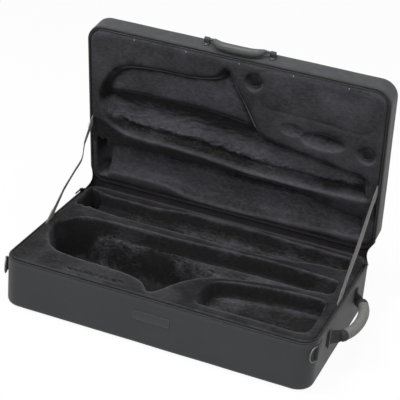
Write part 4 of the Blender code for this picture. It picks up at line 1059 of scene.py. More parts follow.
@dataclass
class Lining:
    """Moulded plush lining of both halves, as one height map for each half."""

    SOPRANO_EDGE_SHARES = (
        (0.000, 0.930), (0.075, 0.924), (0.130, 0.914), (0.260, 0.916), (0.310, 0.930), (0.370, 0.956),
        (0.600, 0.962), (0.700, 0.950), (0.840, 0.940), (1.000, 0.928),
    )

    finishes: Wardrobe
    step: float = 2.0 * MM
    wall_run: float = 9.0 * MM
    roll: float = 5.0 * MM
    crown: float = 1.2 * MM
    end_inset: float = 7.6 * MM
    # Painted light and shade: level on flat pads, gain by slope, change with depth, and highlight on crests.
    flat_painted_shading: float = 0.48
    painted_slope_gain: float = 0.62
    sunk_painted_shading: float = 0.10
    crest_bend: float = 500.0
    crest_light: float = 0.12
    broad_passes: int = 6

    def grid(self) -> tuple[np.ndarray, np.ndarray]:
        """Lay out the map's points in the plan."""
        half_x = PLAN.length / 2 - self.end_inset
        half_y = PLAN.width / 2 - self.end_inset
        xs = np.linspace(-half_x, half_x, int(2 * half_x / self.step) + 1)
        ys = np.linspace(-half_y, half_y, int(2 * half_y / self.step) + 1)
        return np.meshgrid(xs, ys, indexing="ij")

    def inside(self, shares: Sequence[Pair], x: np.ndarray, y: np.ndarray, steps: int = 5) -> np.ndarray:
        """Measure how far points lie inside a smooth closed outline.

        Args:
            shares: The outline's points as shares of the plan.
            x: The points' places along the length.
            y: The points' places along the width.
            steps: New points on each stretch of the outline.

        Returns:
            The distance to the outline, above zero inside it.
        """
        points = [PLAN.place(*pair) for pair in shares]
        ring = [points[-1], *points, points[0], points[1]]
        line = Build.smooth_line(ring, steps)[steps:-steps]
        best = np.full(x.shape, 1e9)
        crossings = np.zeros(x.shape, dtype=int)
        for (ax, ay), (bx, by) in zip(line, line[1:]):
            dx = bx - ax
            dy = by - ay
            span = dx * dx + dy * dy
            if span < 1e-14:
                continue
            t = np.clip(((x - ax) * dx + (y - ay) * dy) / span, 0.0, 1.0)
            best = np.minimum(best, np.hypot(x - ax - t * dx, y - ay - t * dy))
            if dy:
                crossings += ((ay > y) != (by > y)) & (x < ax + (y - ay) * dx / dy)
        return np.where(crossings % 2 == 1, best, -best)

    @staticmethod
    def ease(value: np.ndarray, low: float, high: float) -> np.ndarray:
        """Rise smoothly from 0 to 1 between two values."""
        t = np.clip((value - low) / (high - low), 0.0, 1.0)
        return t * t * (3.0 - 2.0 * t)

    @staticmethod
    def bowl(value: np.ndarray, reach: float) -> np.ndarray:
        """Rise like the side of a round trough from 0 to 1 over a reach."""
        t = np.clip(value / reach, 0.0, 1.0)
        return np.sqrt(1.0 - (1.0 - t) ** 2)

    @staticmethod
    def rumple(
        x: np.ndarray, y: np.ndarray, seed: float, scale: tuple[float, float], lean: float
    ) -> np.ndarray:
        """Make soft creases, sharp at their crests, that run along one way.

        Args:
            x: Places along the length.
            y: Places along the width.
            seed: Picks the pattern.
            scale: How close the creases are along and across.
            lean: The turn of the creases, in radians.

        Returns:
            The creases' height, from 0 to 1.
        """
        u = (x * math.cos(lean) + y * math.sin(lean)) * scale[0]
        v = (-x * math.sin(lean) + y * math.cos(lean)) * scale[1]
        flat = np.empty(x.size)
        for index, (a, b) in enumerate(zip(u.ravel(), v.ravel())):
            flat[index] = noise.noise((a, b, seed)) + 0.5 * noise.noise((2.1 * a, 2.1 * b, seed + 7.0))
        return (1.0 - np.abs(np.clip(flat.reshape(x.shape) * 1.6, -1.0, 1.0))) ** 2

    def border(self, x: np.ndarray, y: np.ndarray) -> np.ndarray:
        """Measure how far points lie inside the lining's round-cornered edge."""
        radius = PLAN.corner - self.end_inset
        qx = np.abs(x) - (PLAN.length / 2 - self.end_inset - radius)
        qy = np.abs(y) - (PLAN.width / 2 - self.end_inset - radius)
        outside = np.hypot(np.maximum(qx, 0.0), np.maximum(qy, 0.0))
        return radius - outside - np.minimum(np.maximum(qx, qy), 0.0)

    def surface(self, half: Half, x: np.ndarray, y: np.ndarray, depth: np.ndarray) -> np.ndarray:
        """Turn depths below the face into heights, with the edge rolled down to the shell."""
        edge = self.border(x, y)
        face = PLAN.pad_face(half)
        t = np.clip(edge / self.roll, 0.0, 1.0)
        drop = self.roll * (1.0 - np.sqrt(1.0 - (1.0 - t) ** 2))
        drop += np.where(edge < 0.0, 12 * MM, 0.0)
        return face - np.maximum(depth, drop)

    def mesh(
        self, half: Half, depth: np.ndarray, x: np.ndarray, y: np.ndarray
    ) -> tuple[np.ndarray, list[list[int]]]:
        """Make the points and faces of one half's map."""
        height = self.surface(half, x, y, depth)
        edge = self.border(x, y)
        rows, columns = x.shape
        index = np.arange(rows * columns).reshape(rows, columns)
        verts = np.stack([x.ravel(), y.ravel(), height.ravel()], axis=1)
        quads = np.stack(
            [index[:-1, :-1], index[1:, :-1], index[1:, 1:], index[:-1, 1:]], axis=-1
        ).reshape(-1, 4)
        kept = (edge.ravel()[quads] > -1.5 * self.step).all(axis=1)
        return verts, quads[kept].tolist()

    @staticmethod
    def profile(distance: np.ndarray, keys: Sequence[Pair]) -> np.ndarray:
        """Read a smooth section curve at distances.

        Args:
            distance: Where to read it, in metres.
            keys: The curve's points, as distance and depth in millimetres.

        Returns:
            The depths, in metres.
        """
        line = np.array(Build.smooth_line(keys, 6)) * MM
        return np.interp(distance, line[:, 0], line[:, 1])

    @staticmethod
    def edge_height(shares: Sequence[Pair], x: np.ndarray) -> np.ndarray:
        """Give the place across the width of an edge that runs along the length."""
        points = np.array([PLAN.place(*pair) for pair in shares])
        return np.interp(x, points[:, 0], points[:, 1])

    def painted_shading(self, half: Half, depth: np.ndarray, x: np.ndarray, y: np.ndarray) -> np.ndarray:
        """Paint light and shade from the slopes: slopes that face one way are painted pale, slopes that face
        the other way are painted dark, and crests get a painted highlight.

        Returns:
            0 for painted shade, 1 for painted light.
        """
        height = self.surface(half, x, y, depth)
        fine = np.gradient(height, self.step, axis=1)
        broad = fine.copy()
        for _ in range(self.broad_passes):
            padded = np.pad(broad, 2, mode="edge")
            broad = sum(
                padded[a : a + x.shape[0], b : b + x.shape[1]] for a in range(5) for b in range(5)
            ) / 25.0
        slope = 0.8 * broad + 0.35 * np.clip(fine, -1.2, 1.2)
        # Painted highlight along the crests of the lining.
        crest = np.clip(
            -np.gradient(fine, self.step, axis=1) / self.crest_bend, 0.0, 1.0
        ) * (1.0 - self.ease(depth, 2 * MM, 8 * MM))
        # Painted light and shade by slope: slopes facing one way are made pale, the others dark.
        leaning = self.painted_slope_gain * slope / np.sqrt(0.35 + slope * slope)
        return self.flat_painted_shading + leaning + self.crest_light * crest

    def dressed(
        self, half: Half, depth: np.ndarray, nap: np.ndarray, fluff_and_painted_shading: np.ndarray, x: np.ndarray, y: np.ndarray,
        nodes: Sequence[str],
    ) -> bpy.types.Object:
        """Make one half's lining as an object that stands for its CAD blocks.

        Args:
            half: The half.
            depth: Depth below the lining's face at each point.
            nap: How shaggy the pile is at each point, from 0 to 1.
            fluff_and_painted_shading: Painted light and shade bands at each point, with lighter fur in
                places.
            x: The points' places along the length.
            y: The points' places along the width.
            nodes: The CAD nodes that it stands for.

        Returns:
            The lining.
        """
        verts, faces = self.mesh(half, depth, x, y)
        made = Build.thing(f"{half.value}_plush_lining", verts, faces, self.finishes.plush, half, 180.0)
        # Painted shading: the slope values, plus painted light or shade by depth, plus the painted bands of
        # each half.
        sunk = self.ease(depth, 2 * MM, 22 * MM)
        painted_shading = self.painted_shading(half, depth, x, y) + self.sunk_painted_shading * sunk + fluff_and_painted_shading
        for name, values in (("nap", nap), ("painted_shading", painted_shading)):
            stored = made.data.attributes.new(name, "FLOAT", "POINT")
            stored.data.foreach_set("value", np.clip(values, 0.0, 1.0).ravel().astype(np.float32))
        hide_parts(*nodes)
        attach(made, half.value)
        return made


@dataclass
class BaseLining(Lining):
    """The base's lining, with the deep bell pit, raised beds and accessory tray."""

    # Painted shading of the base: its own gain by slope, a little darker with depth, and strong painted
    # highlights on crests.
    flat_painted_shading: float = 0.20
    painted_slope_gain: float = -0.34
    sunk_painted_shading: float = -0.06
    crest_light: float = 0.75
    broad_passes: int = 2

    ALTO_SHARES = (
        (0.040, 0.460), (0.045, 0.380), (0.062, 0.310), (0.090, 0.245), (0.130, 0.205), (0.200, 0.188),
        (0.300, 0.182), (0.370, 0.170), (0.420, 0.145), (0.447, 0.105), (0.463, 0.070), (0.480, 0.078),
        (0.495, 0.115), (0.515, 0.190), (0.545, 0.270), (0.592, 0.352), (0.640, 0.390), (0.700, 0.425),
        (0.800, 0.468), (0.900, 0.500), (0.950, 0.516), (0.958, 0.585), (0.950, 0.656), (0.900, 0.672),
        (0.800, 0.680), (0.700, 0.680), (0.600, 0.672), (0.500, 0.660), (0.400, 0.650), (0.300, 0.645),
        (0.200, 0.642), (0.130, 0.630), (0.085, 0.600), (0.055, 0.540),
    )
    BED_SHARES = (
        (0.130, 0.600), (0.300, 0.568), (0.450, 0.545), (0.560, 0.480), (0.640, 0.360), (0.800, 0.300),
        (1.050, 0.400), (1.050, 0.700), (0.800, 0.800), (0.400, 0.780), (0.130, 0.720),
    )
    ALTO_EDGE_SHARES = (
        (
            0.000, 0.540
        ), (0.055, 0.540), (0.085, 0.600), (0.130, 0.630), (0.200, 0.642), (0.300, 0.645), (0.400, 0.650),
        (0.500, 0.660), (0.600, 0.672), (0.700, 0.680), (0.800, 0.680), (0.900, 0.672), (1.000, 0.656),
    )
    TRAY_BACK_SHARES = (
        (0.000, 0.345), (0.632, 0.345), (0.680, 0.378), (0.780, 0.415), (0.880, 0.440), (1.000, 0.440)
    )
    BED_SECTION = (
        (-30.0, -1.0), (8.0, -1.0), (14.0, -2.0), (22.0, -6.0), (30.0, -8.0), (42.0, -6.0),
        (60.0, -5.0), (90.0, -9.0), (130.0, -12.0),
        (400.0, -12.0),
    )
    SOPRANO_SHARES = (
        (0.030, 0.748), (0.045, 0.735), (0.075, 0.738), (0.100, 0.728), (0.130, 0.720), (0.200, 0.712),
        (0.400, 0.714), (0.600, 0.716), (0.700, 0.720), (0.780, 0.738), (0.840, 0.768), (0.900, 0.784),
        (0.948, 0.794), (0.957, 0.860), (0.948, 0.928), (0.840, 0.940), (0.700, 0.950), (0.600, 0.962),
        (0.450, 0.962), (0.370, 0.956), (0.310, 0.930), (0.260, 0.916), (0.130, 0.914), (0.075, 0.924),
        (0.038, 0.940),
    )
    BELL_SLOT_SHARES = (
        (0.030, 0.745), (0.052, 0.737), (0.074, 0.742), (0.074, 0.918), (0.052, 0.932), (0.030, 0.935)
    )
    TRAY_SHARES = (
        (0.612, 0.105), (0.628, 0.086), (0.700, 0.085), (0.800, 0.085), (0.900, 0.085), (0.945, 0.092),
        (0.960, 0.120), (0.963, 0.220), (0.962, 0.380), (0.945, 0.440), (0.880, 0.440), (0.780, 0.415),
        (0.680, 0.378), (0.632, 0.345), (0.610, 0.290), (0.605, 0.180),
    )
    FRONT_DENT_SHARES = (
        (0.205, 0.062), (0.260, 0.058), (0.330, 0.060), (0.375, 0.068), (0.380, 0.092), (0.330, 0.098),
        (0.260, 0.094), (0.205, 0.088)
    )

    def build(self) -> list[bpy.types.Object]:
        """Build the lining.

        Returns:
            The lining's object.
        """
        x, y = self.grid()
        face = PLAN.pad_face(Half.BASE)
        pit = face - high_corner("base_floor_pad").z - 1.0 * MM
        bed = face - high_corner("base_alto_bed").z
        channel = face - high_corner("base_soprano_bed").z
        tray = 38 * MM
        alto = self.inside(self.ALTO_SHARES, x, y)
        raised = self.inside(self.BED_SHARES, x, y)
        creases = self.rumple(x, y, 1.0, (16.0, 75.0), -0.22)
        folds = self.rumple(x, y, 4.0, (34.0, 110.0), 0.30)
        tangle = self.rumple(x, y, 6.0, (70.0, 120.0), 1.10)
        on_bed = self.ease(raised, -14 * MM, 14 * MM)
        rim_fur = np.exp(-((raised - 6 * MM) / (20 * MM)) ** 2) * self.ease(alto, 0.0, 16 * MM)
        behind = self.edge_height(self.ALTO_EDGE_SHARES, x) - y
        bed_depth = (
            bed + self.profile(behind, self.BED_SECTION)
            - (5 * MM * creases + 2 * MM * folds) * self.ease(behind, 30 * MM, 50 * MM)
        )
        pit_depth = pit - 20 * MM * (1.0 - self.bowl(alto, 34 * MM)) - 3 * MM * folds
        hollow = (
            pit_depth * (1.0 - on_bed) + bed_depth * on_bed - rim_fur * (7 * MM * creases + 2.5 * MM * tangle)
        )
        depth = hollow * self.ease(alto, -1.5 * MM, 1.3 * self.wall_run)
        soprano = self.inside(self.SOPRANO_SHARES, x, y)
        round_bed = 0.50 * channel + 0.46 * channel * self.bowl(soprano, 34 * MM)
        round_bed -= (5 * MM * creases + 2 * MM * folds) * self.ease(soprano, 4 * MM, 20 * MM)
        depth = np.maximum(depth, round_bed * self.ease(soprano, -1.5 * MM, 1.2 * self.wall_run))
        slot = self.inside(self.BELL_SLOT_SHARES, x, y)
        depth = np.maximum(depth, pit * self.ease(slot, -1.0 * MM, 8 * MM))
        well = self.inside(self.TRAY_SHARES, x, y)
        well_depth = (
            tray - 10 * MM * (1.0 - self.bowl(well, 20 * MM))
            - 3.0 * MM * folds * self.ease(well, 6 * MM, 20 * MM)
        )
        depth = np.maximum(depth, well_depth * self.ease(well, -1.5 * MM, 10 * MM))
        dent = self.inside(self.FRONT_DENT_SHARES, x, y)
        dent += 5 * MM * (tangle - 0.5)
        depth = np.maximum(depth, (3 * MM + 5 * MM * creases) * self.ease(dent, -2.0 * MM, 5 * MM))
        near = np.maximum.reduce([alto, soprano, well, dent])
        near_tray = (
            np.exp(-((x - PLAN.place(0.64, 0.2)[0]) / (45 * MM)) ** 2) * self.ease(well, -2 * MM, 10 * MM)
        )
        # These patches mark shaggier pile and are also painted lighter as painted light.
        px, py = PLAN.place(0.62, 0.82)
        brushed = np.exp(-((x - px) / (110 * MM)) ** 2 - ((y - py) / (32 * MM)) ** 2)
        px, py = PLAN.place(0.17, 0.47)
        brushed += np.exp(-(((x - px) / (50 * MM)) ** 2) - ((y - py) / (45 * MM)) ** 2)
        nap = (
            0.20 + 0.22 * self.ease(near, -4 * MM, 14 * MM) + 0.65 * rim_fur + 0.5 * near_tray + 0.3 * brushed
        )
        in_tray = self.ease(well, 2 * MM, 12 * MM) * self.ease(
            x, *(PLAN.place(share, 0.5)[0] for share in (0.62, 0.66))
        )
        tray_back = self.edge_height(self.TRAY_BACK_SHARES, x) - y
        # Painted light and shade of the base: lighter fur on the rims and patches, a painted lit band on the
        # tray's rear wall, painted light on the alto bed and soprano channel, and painted shade in the front
        # dent.
        fluff_and_painted_shading = 0.26 * rim_fur + 0.10 * near_tray + 0.22 * brushed
        fluff_and_painted_shading += in_tray * (0.42 * np.exp(-(((tray_back - 20 * MM) / (11 * MM)) ** 2)) + 0.06)
        middle, right = (PLAN.place(share, 0.5)[0] for share in (0.30, 0.62))
        behind_soprano = self.edge_height(self.SOPRANO_EDGE_SHARES, x) - y
        lit_bed = self.ease(behind, 8 * MM, 20 * MM) * on_bed * self.ease(alto, 2 * MM, 14 * MM)
        fluff_and_painted_shading += lit_bed * (0.18 + 0.36 * self.ease(x, middle, right))
        lit_channel = (
            np.exp(-(((behind_soprano - 36 * MM) / (22 * MM)) ** 2)) * self.ease(soprano, 4 * MM, 16 * MM)
        )
        fluff_and_painted_shading += lit_channel * (0.04 + 0.50 * self.ease(x, middle, right))
        nap += 0.25 * (lit_bed + lit_channel)
        fluff_and_painted_shading -= 0.5 * self.ease(dent, -3 * MM, 2 * MM)
        away = np.clip(-near, 0.0, 30 * MM) / (30 * MM)
        crown = self.crown * np.sin(np.clip(away, 0.0, 1.0) * math.pi / 2)
        wave = 0.9 * MM * (self.rumple(x, y, 9.0, (10.0, 14.0), 0.6) - 0.5)
        depth = np.where(depth < 0.2 * MM, depth - crown - np.minimum(wave, 0.0), depth)
        depth += 0.8 * MM * self.rumple(x, y, 12.0, (22.0, 40.0), 0.1) * (depth < 0.5 * MM)
        nodes = (
            "base_floor_pad", "base_front_pad", "base_bell_pad", "accessory_tray", "base_left_pad",
            "base_centre_ridge", "base_right_pad", "base_rear_pad", "base_alto_bed", "base_soprano_bed",
        )
        return [self.dressed(Half.BASE, depth, nap, fluff_and_painted_shading, x, y, nodes)]


@dataclass
class LidLining(Lining):
    """The lid's lining, with shallower recesses, buttoned dimples and a puffed panel."""

    ALTO_SHARES = (
        (0.043, 0.450), (0.047, 0.380), (0.062, 0.310), (0.085, 0.255), (0.120, 0.210), (0.180, 0.188),
        (0.260, 0.178), (0.350, 0.174), (0.420, 0.155), (0.450, 0.130), (0.470, 0.080), (0.488, 0.092),
        (0.500, 0.130), (0.520, 0.200), (0.550, 0.280), (0.592, 0.415), (0.620, 0.445), (0.700, 0.475),
        (0.800, 0.502), (0.900, 0.530), (0.950, 0.552), (0.957, 0.615), (0.950, 0.680), (0.850, 0.692),
        (0.750, 0.692), (0.650, 0.688), (0.550, 0.685), (0.480, 0.670), (0.400, 0.656), (0.300, 0.647),
        (0.180, 0.644), (0.130, 0.634), (0.085, 0.590), (0.055, 0.530),
    )
    BELL_BED_SHARES = (
        (0.000, 0.000), (0.300, 0.000), (0.600, 0.000), (0.640, 0.300), (0.600, 0.430), (0.500, 0.410),
        (0.400, 0.396), (0.300, 0.392), (0.200, 0.394), (0.120, 0.400), (0.000, 0.400),
    )
    SOPRANO_SHARES = BaseLining.SOPRANO_SHARES
    BELL_SLOT_SHARES = (
        (0.030, 0.715), (0.047, 0.710), (0.066, 0.716), (0.066, 0.925), (0.047, 0.945), (0.030, 0.940)
    )
    PANEL_SHARES = (
        (0.600, 0.040), (0.780, 0.035), (0.940, 0.045), (0.960, 0.120), (0.955, 0.240), (0.920, 0.285),
        (0.800, 0.270), (0.680, 0.262), (0.600, 0.250), (0.585, 0.150),
    )
    ALTO_EDGE_SHARES = (
        (
            0.000, 0.560
        ), (0.055, 0.575), (0.085, 0.610), (0.130, 0.634), (0.180, 0.644), (0.300, 0.647), (0.400, 0.656),
        (0.480, 0.670), (0.550, 0.685), (0.650, 0.688), (0.850, 0.692), (0.950, 0.680), (1.000, 0.680),
    )
    BODY_TOP_SHARES = (
        (
            0.000, 0.400
        ), (0.120, 0.396), (0.200, 0.392), (0.300, 0.392), (0.400, 0.398), (0.500, 0.412), (0.600, 0.430),
        (0.700, 0.475), (0.800, 0.502), (0.900, 0.530), (1.000, 0.560),
    )
    RIDGE_SHARES = (
        (0.000, 0.735), (0.130, 0.720), (0.400, 0.714), (0.700, 0.720), (0.780, 0.738), (0.840, 0.768),
        (1.000, 0.800)
    )
    BODY_SECTION = (
        (
            -20.0, 40.0
        ), (4.0, 40.0), (9.0, 40.0), (14.0, 36.0), (20.0, 29.5), (27.0, 26.5), (38.0, 29.0), (54.0, 34.0),
        (75.0, 36.0), (95.0, 35.0), (400.0, 33.0),
    )
    SOPRANO_SECTION = (
        (
            -20.0, 22.0
        ), (8.0, 22.0), (16.0, 25.0), (30.0, 30.0), (50.0, 36.0), (70.0, 40.0), (85.0, 41.0), (400.0, 41.0),
    )
    DIMPLES_SHARES = ((0.567, 0.125), (0.943, 0.405))
    OVAL_SHARES = (0.800, 0.385)
    SOFT_SHARES = (0.700, 0.355)

    def build(self) -> list[bpy.types.Object]:
        """Build the lining.

        Returns:
            The lining's object.
        """
        x, y = self.grid()
        face = PLAN.pad_face(Half.LID)
        deepest = face - PLAN.wall - 15.5 * MM
        alto = self.inside(self.ALTO_SHARES, x, y)
        bell = self.inside(self.BELL_BED_SHARES, x, y)
        folds = self.rumple(x, y, 21.0, (16.0, 55.0), -0.15)
        tangle = self.rumple(x, y, 23.0, (60.0, 110.0), 1.0)
        on_bell = self.ease(bell, -12 * MM, 12 * MM)
        below = self.edge_height(self.ALTO_EDGE_SHARES, x) - y
        body_depth = self.profile(below, self.BODY_SECTION) - 2.0 * MM * folds
        fur = np.exp(-(((below - 26 * MM) / (12 * MM)) ** 2))
        body_depth -= fur * (2.5 * MM * tangle + 2.0 * MM * folds)
        bell_depth = (
            27 * MM - 6 * MM * self.bowl(alto, 50 * MM) * (1.0 - self.ease(below, 150 * MM, 230 * MM))
        )
        hollow = bell_depth * on_bell + body_depth * (1.0 - on_bell)
        depth = np.minimum(hollow, deepest) * self.ease(alto, -2.5 * MM, 2.2 * self.wall_run)
        soprano = self.inside(self.SOPRANO_SHARES, x, y)
        above = self.edge_height(self.SOPRANO_EDGE_SHARES, x) - y
        round_bed = self.profile(above, self.SOPRANO_SECTION) - 2.0 * MM * folds - 1.5 * MM * tangle
        depth = np.maximum(
            depth, np.minimum(round_bed, deepest) * self.ease(soprano, -2.5 * MM, 1.9 * self.wall_run)
        )
        slot = self.inside(self.BELL_SLOT_SHARES, x, y)
        depth = np.maximum(depth, 0.97 * deepest * self.ease(slot, -1.0 * MM, 7 * MM))
        near = np.maximum.reduce([alto, soprano, slot])
        away = np.clip(-near, 0.0, 30 * MM) / (30 * MM)
        crown = self.crown * np.sin(away * math.pi / 2)
        depth = np.where(depth < 0.2 * MM, depth - crown, depth)
        panel = self.inside(self.PANEL_SHARES, x, y)
        depth += 1.6 * MM * self.ease(panel, -10 * MM, 0.0) * (1.0 - self.ease(panel, 0.0, 12 * MM))
        nap = 0.20 + 0.22 * self.ease(near, -4 * MM, 14 * MM) + 0.15 * self.ease(panel, 0.0, 40 * MM)
        nap += 0.45 * fur * (alto > 0.0)
        radius = 23 * MM
        for share in self.DIMPLES_SHARES:
            px, py = PLAN.place(*share)
            r = np.hypot(x - px, y - py) / radius
            bowl = 13 * MM * (1.0 - self.ease(r, 0.66, 1.0)) - 7.0 * MM * (1.0 - self.ease(r, 0.30, 0.60))
            depth = np.maximum(depth, np.where(r < 1.0, bowl, depth))
        for share, half_x, half_y, dip in (
            (self.OVAL_SHARES, 55 * MM, 22 * MM, 12 * MM), (self.SOFT_SHARES, 30 * MM, 17 * MM, 4 * MM)
        ):
            px, py = PLAN.place(*share)
            r = np.hypot((x - px) / half_x, (y - py) / half_y)
            depth = np.maximum(depth, np.where(r < 1.0, dip * np.clip(1.0 - r**2, 0.0, 1.0) ** 0.8, depth))
            nap += 0.4 * (1.0 - self.ease(r, 0.5, 1.0))
        depth += 0.8 * MM * self.rumple(x, y, 33.0, (12.0, 20.0), 0.5) * (depth < 1.0 * MM)
        nodes = (
            "lid_backing_pad", "lid_front_pad", "lid_bell_pad", "lid_side_pad", "lid_left_pad",
            "lid_centre_ridge", "lid_right_pad", "lid_rear_pad",
        )
        in_alto = self.ease(alto, -6 * MM, 6 * MM)
        from_top = y - self.edge_height(self.BODY_TOP_SHARES, x)
        # Painted light and shade of the lid: dark painted bands under the top of the body channel, in the
        # trough by the lower wall, inside the bell's rim, along the ridge and at the soprano's walls; painted
        # light on the lower side of the body channel, a broad patch, the bell floor and the soprano floor;
        # the panel drawn lighter.
        fluff_and_painted_shading = 0.20 * self.ease(panel, 0.0, 40 * MM)
        fluff_and_painted_shading -= 0.48 * in_alto * np.exp(-(((from_top - 16 * MM) / (20 * MM)) ** 2))
        fluff_and_painted_shading -= 1.10 * in_alto * np.exp(-(((below - 11 * MM) / (10 * MM)) ** 2))
        fluff_and_painted_shading += 0.22 * in_alto * np.exp(-(((below - 42 * MM) / (20 * MM)) ** 2))
        in_bell = self.ease(bell, -6 * MM, 6 * MM) * in_alto
        fluff_and_painted_shading -= 0.50 * in_bell * np.exp(-(((alto - 8 * MM) / (12 * MM)) ** 2))
        px, py = PLAN.place(0.40, 0.30)
        fluff_and_painted_shading += 0.22 * in_alto * np.exp(-(((x - px) / (80 * MM)) ** 2) - ((y - py) / (40 * MM)) ** 2)
        fluff_and_painted_shading += 0.20 * in_bell * self.ease(alto, 10 * MM, 30 * MM)
        from_ridge = y - self.edge_height(self.RIDGE_SHARES, x)
        fluff_and_painted_shading -= 0.46 * self.ease(-below, 1 * MM, 6 * MM) * self.ease(-from_ridge, -2 * MM, 4 * MM)
        in_soprano = self.ease(soprano, -6 * MM, 6 * MM)
        fluff_and_painted_shading -= 0.58 * in_soprano * np.exp(-(((from_ridge - 16 * MM) / (24 * MM)) ** 2))
        fluff_and_painted_shading -= 0.60 * in_soprano * np.exp(-(((above - 7 * MM) / (9 * MM)) ** 2))
        fluff_and_painted_shading += 0.16 * in_soprano * np.exp(-(((from_ridge - 60 * MM) / (28 * MM)) ** 2))
        return [self.dressed(Half.LID, depth, nap, fluff_and_painted_shading, x, y, nodes)]


@dataclass
class Stays:
    """The two webbing straps that stop the lid."""

    finishes: Wardrobe
    width: float = 20 * MM
    thick: float = 1.5 * MM
    tuck: float = 20 * MM
    fold: float = 24 * MM
    steps: int = 60
    kink_at: tuple[float, ...] = (0.0, 0.30, 0.50, 0.57, 0.61, 0.66, 0.77, 1.0)
    kink_height: tuple[float, ...] = (0.0, 0.18, 0.70, 0.93, 1.0, 0.86, 0.30, 0.0)

    def ends(self, node: str) -> tuple[Vector, Vector]:
        """Find where a strap leaves the base's lining and where it meets the lid's."""
        low = low_corner(node)
        high = high_corner(node)
        x = high.x if high.x > 0 else low.x
        inset = math.copysign(self.thick / 2, x)
        base_y = -0.020 * PLAN.width
        lid = PLAN.matrix(Half.LID) @ Vector((0.0, 0.1 * PLAN.width, PLAN.lid_height + PLAN.band))
        return Vector((x - inset, base_y, PLAN.hinge.z)), Vector((x - inset, lid.y, lid.z))

    def strap(self, side: str, bow: float, twist: float) -> list[bpy.types.Object]:
        """Make one strap with its folded, sewn ends.

        Args:
            side: "left" or "right".
            bow: How far the slack strap bends inwards.
            twist: How far it turns about its own run half way along, in degrees.

        Returns:
            The strap and its stitches.
        """
        node = f"{side}_stay"
        start, end = self.ends(node)
        run = end - start
        along = run.normalized()
        inward = -1.0 if side == "right" else 1.0
        path = []
        scales = []
        for step in range(self.steps + 1):
            travel = -self.tuck + (run.length + 2 * self.tuck) * step / self.steps
            share = min(max(travel / run.length, 0.0), 1.0)
            slack = float(np.interp(share, self.kink_at, self.kink_height))
            sway = bow * slack + 0.5 * MM * math.sin(9.0 * share)
            path.append(start + along * travel + Vector((inward * sway, 0.0, 0.0)))
            doubled = min(share, 1.0 - share) * run.length < self.fold
            scales.append((2.0 if doubled else 1.0, 1.0))
        across = Vector((0.0, -along.z, along.y))
        section = Build.strap_section(self.width, self.thick)
        verts, faces = Build.sweep(path, section, across, scales=scales)
        for index, vert in enumerate(verts):
            step = index // len(section)
            turn = math.radians(twist) * math.sin(math.pi * step / self.steps)
            vert.xyz = path[step] + Matrix.Rotation(turn, 3, along) @ (vert - path[step])
        made = Build.thing(f"{side}_stay_webbing", verts, faces, self.finishes.webbing)
        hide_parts(node)
        pieces = [made]
        for name, foot, way in (("lower", start, along), ("upper", end, -along)):
            rows: tuple[list[Vector], list[list[int]]] = ([], [])
            for face in (-1.0, 1.0):
                shift = Vector((face * 1.05 * self.thick, 0.0, 0.0))
                wide = across * (self.width / 2 - 2.2 * MM)
                near = foot + way * 6 * MM + shift
                far = foot + way * (self.fold - 4 * MM) + shift
                line = [near - wide, far - wide, far + wide, near + wide, near - wide, far + wide]
                verts, faces = Build.stitches(
                    line, lambda _: shift.normalized(), 2.4 * MM, 1.0 * MM, 0.32 * MM, False
                )
                base = len(rows[0])
                rows[0].extend(verts)
                rows[1].extend([[index + base for index in one] for one in faces])
            pieces.append(
                Build.thing(f"{side}_stay_{name}_stitches", *rows, self.finishes.thread, None, 80.0)
            )
        for piece in pieces:
            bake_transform(piece)
        return pieces

    def build(self) -> list[bpy.types.Object]:
        """Build both straps."""
        return self.strap("left", 16 * MM, 18.0) + self.strap("right", 0.0, -10.0)


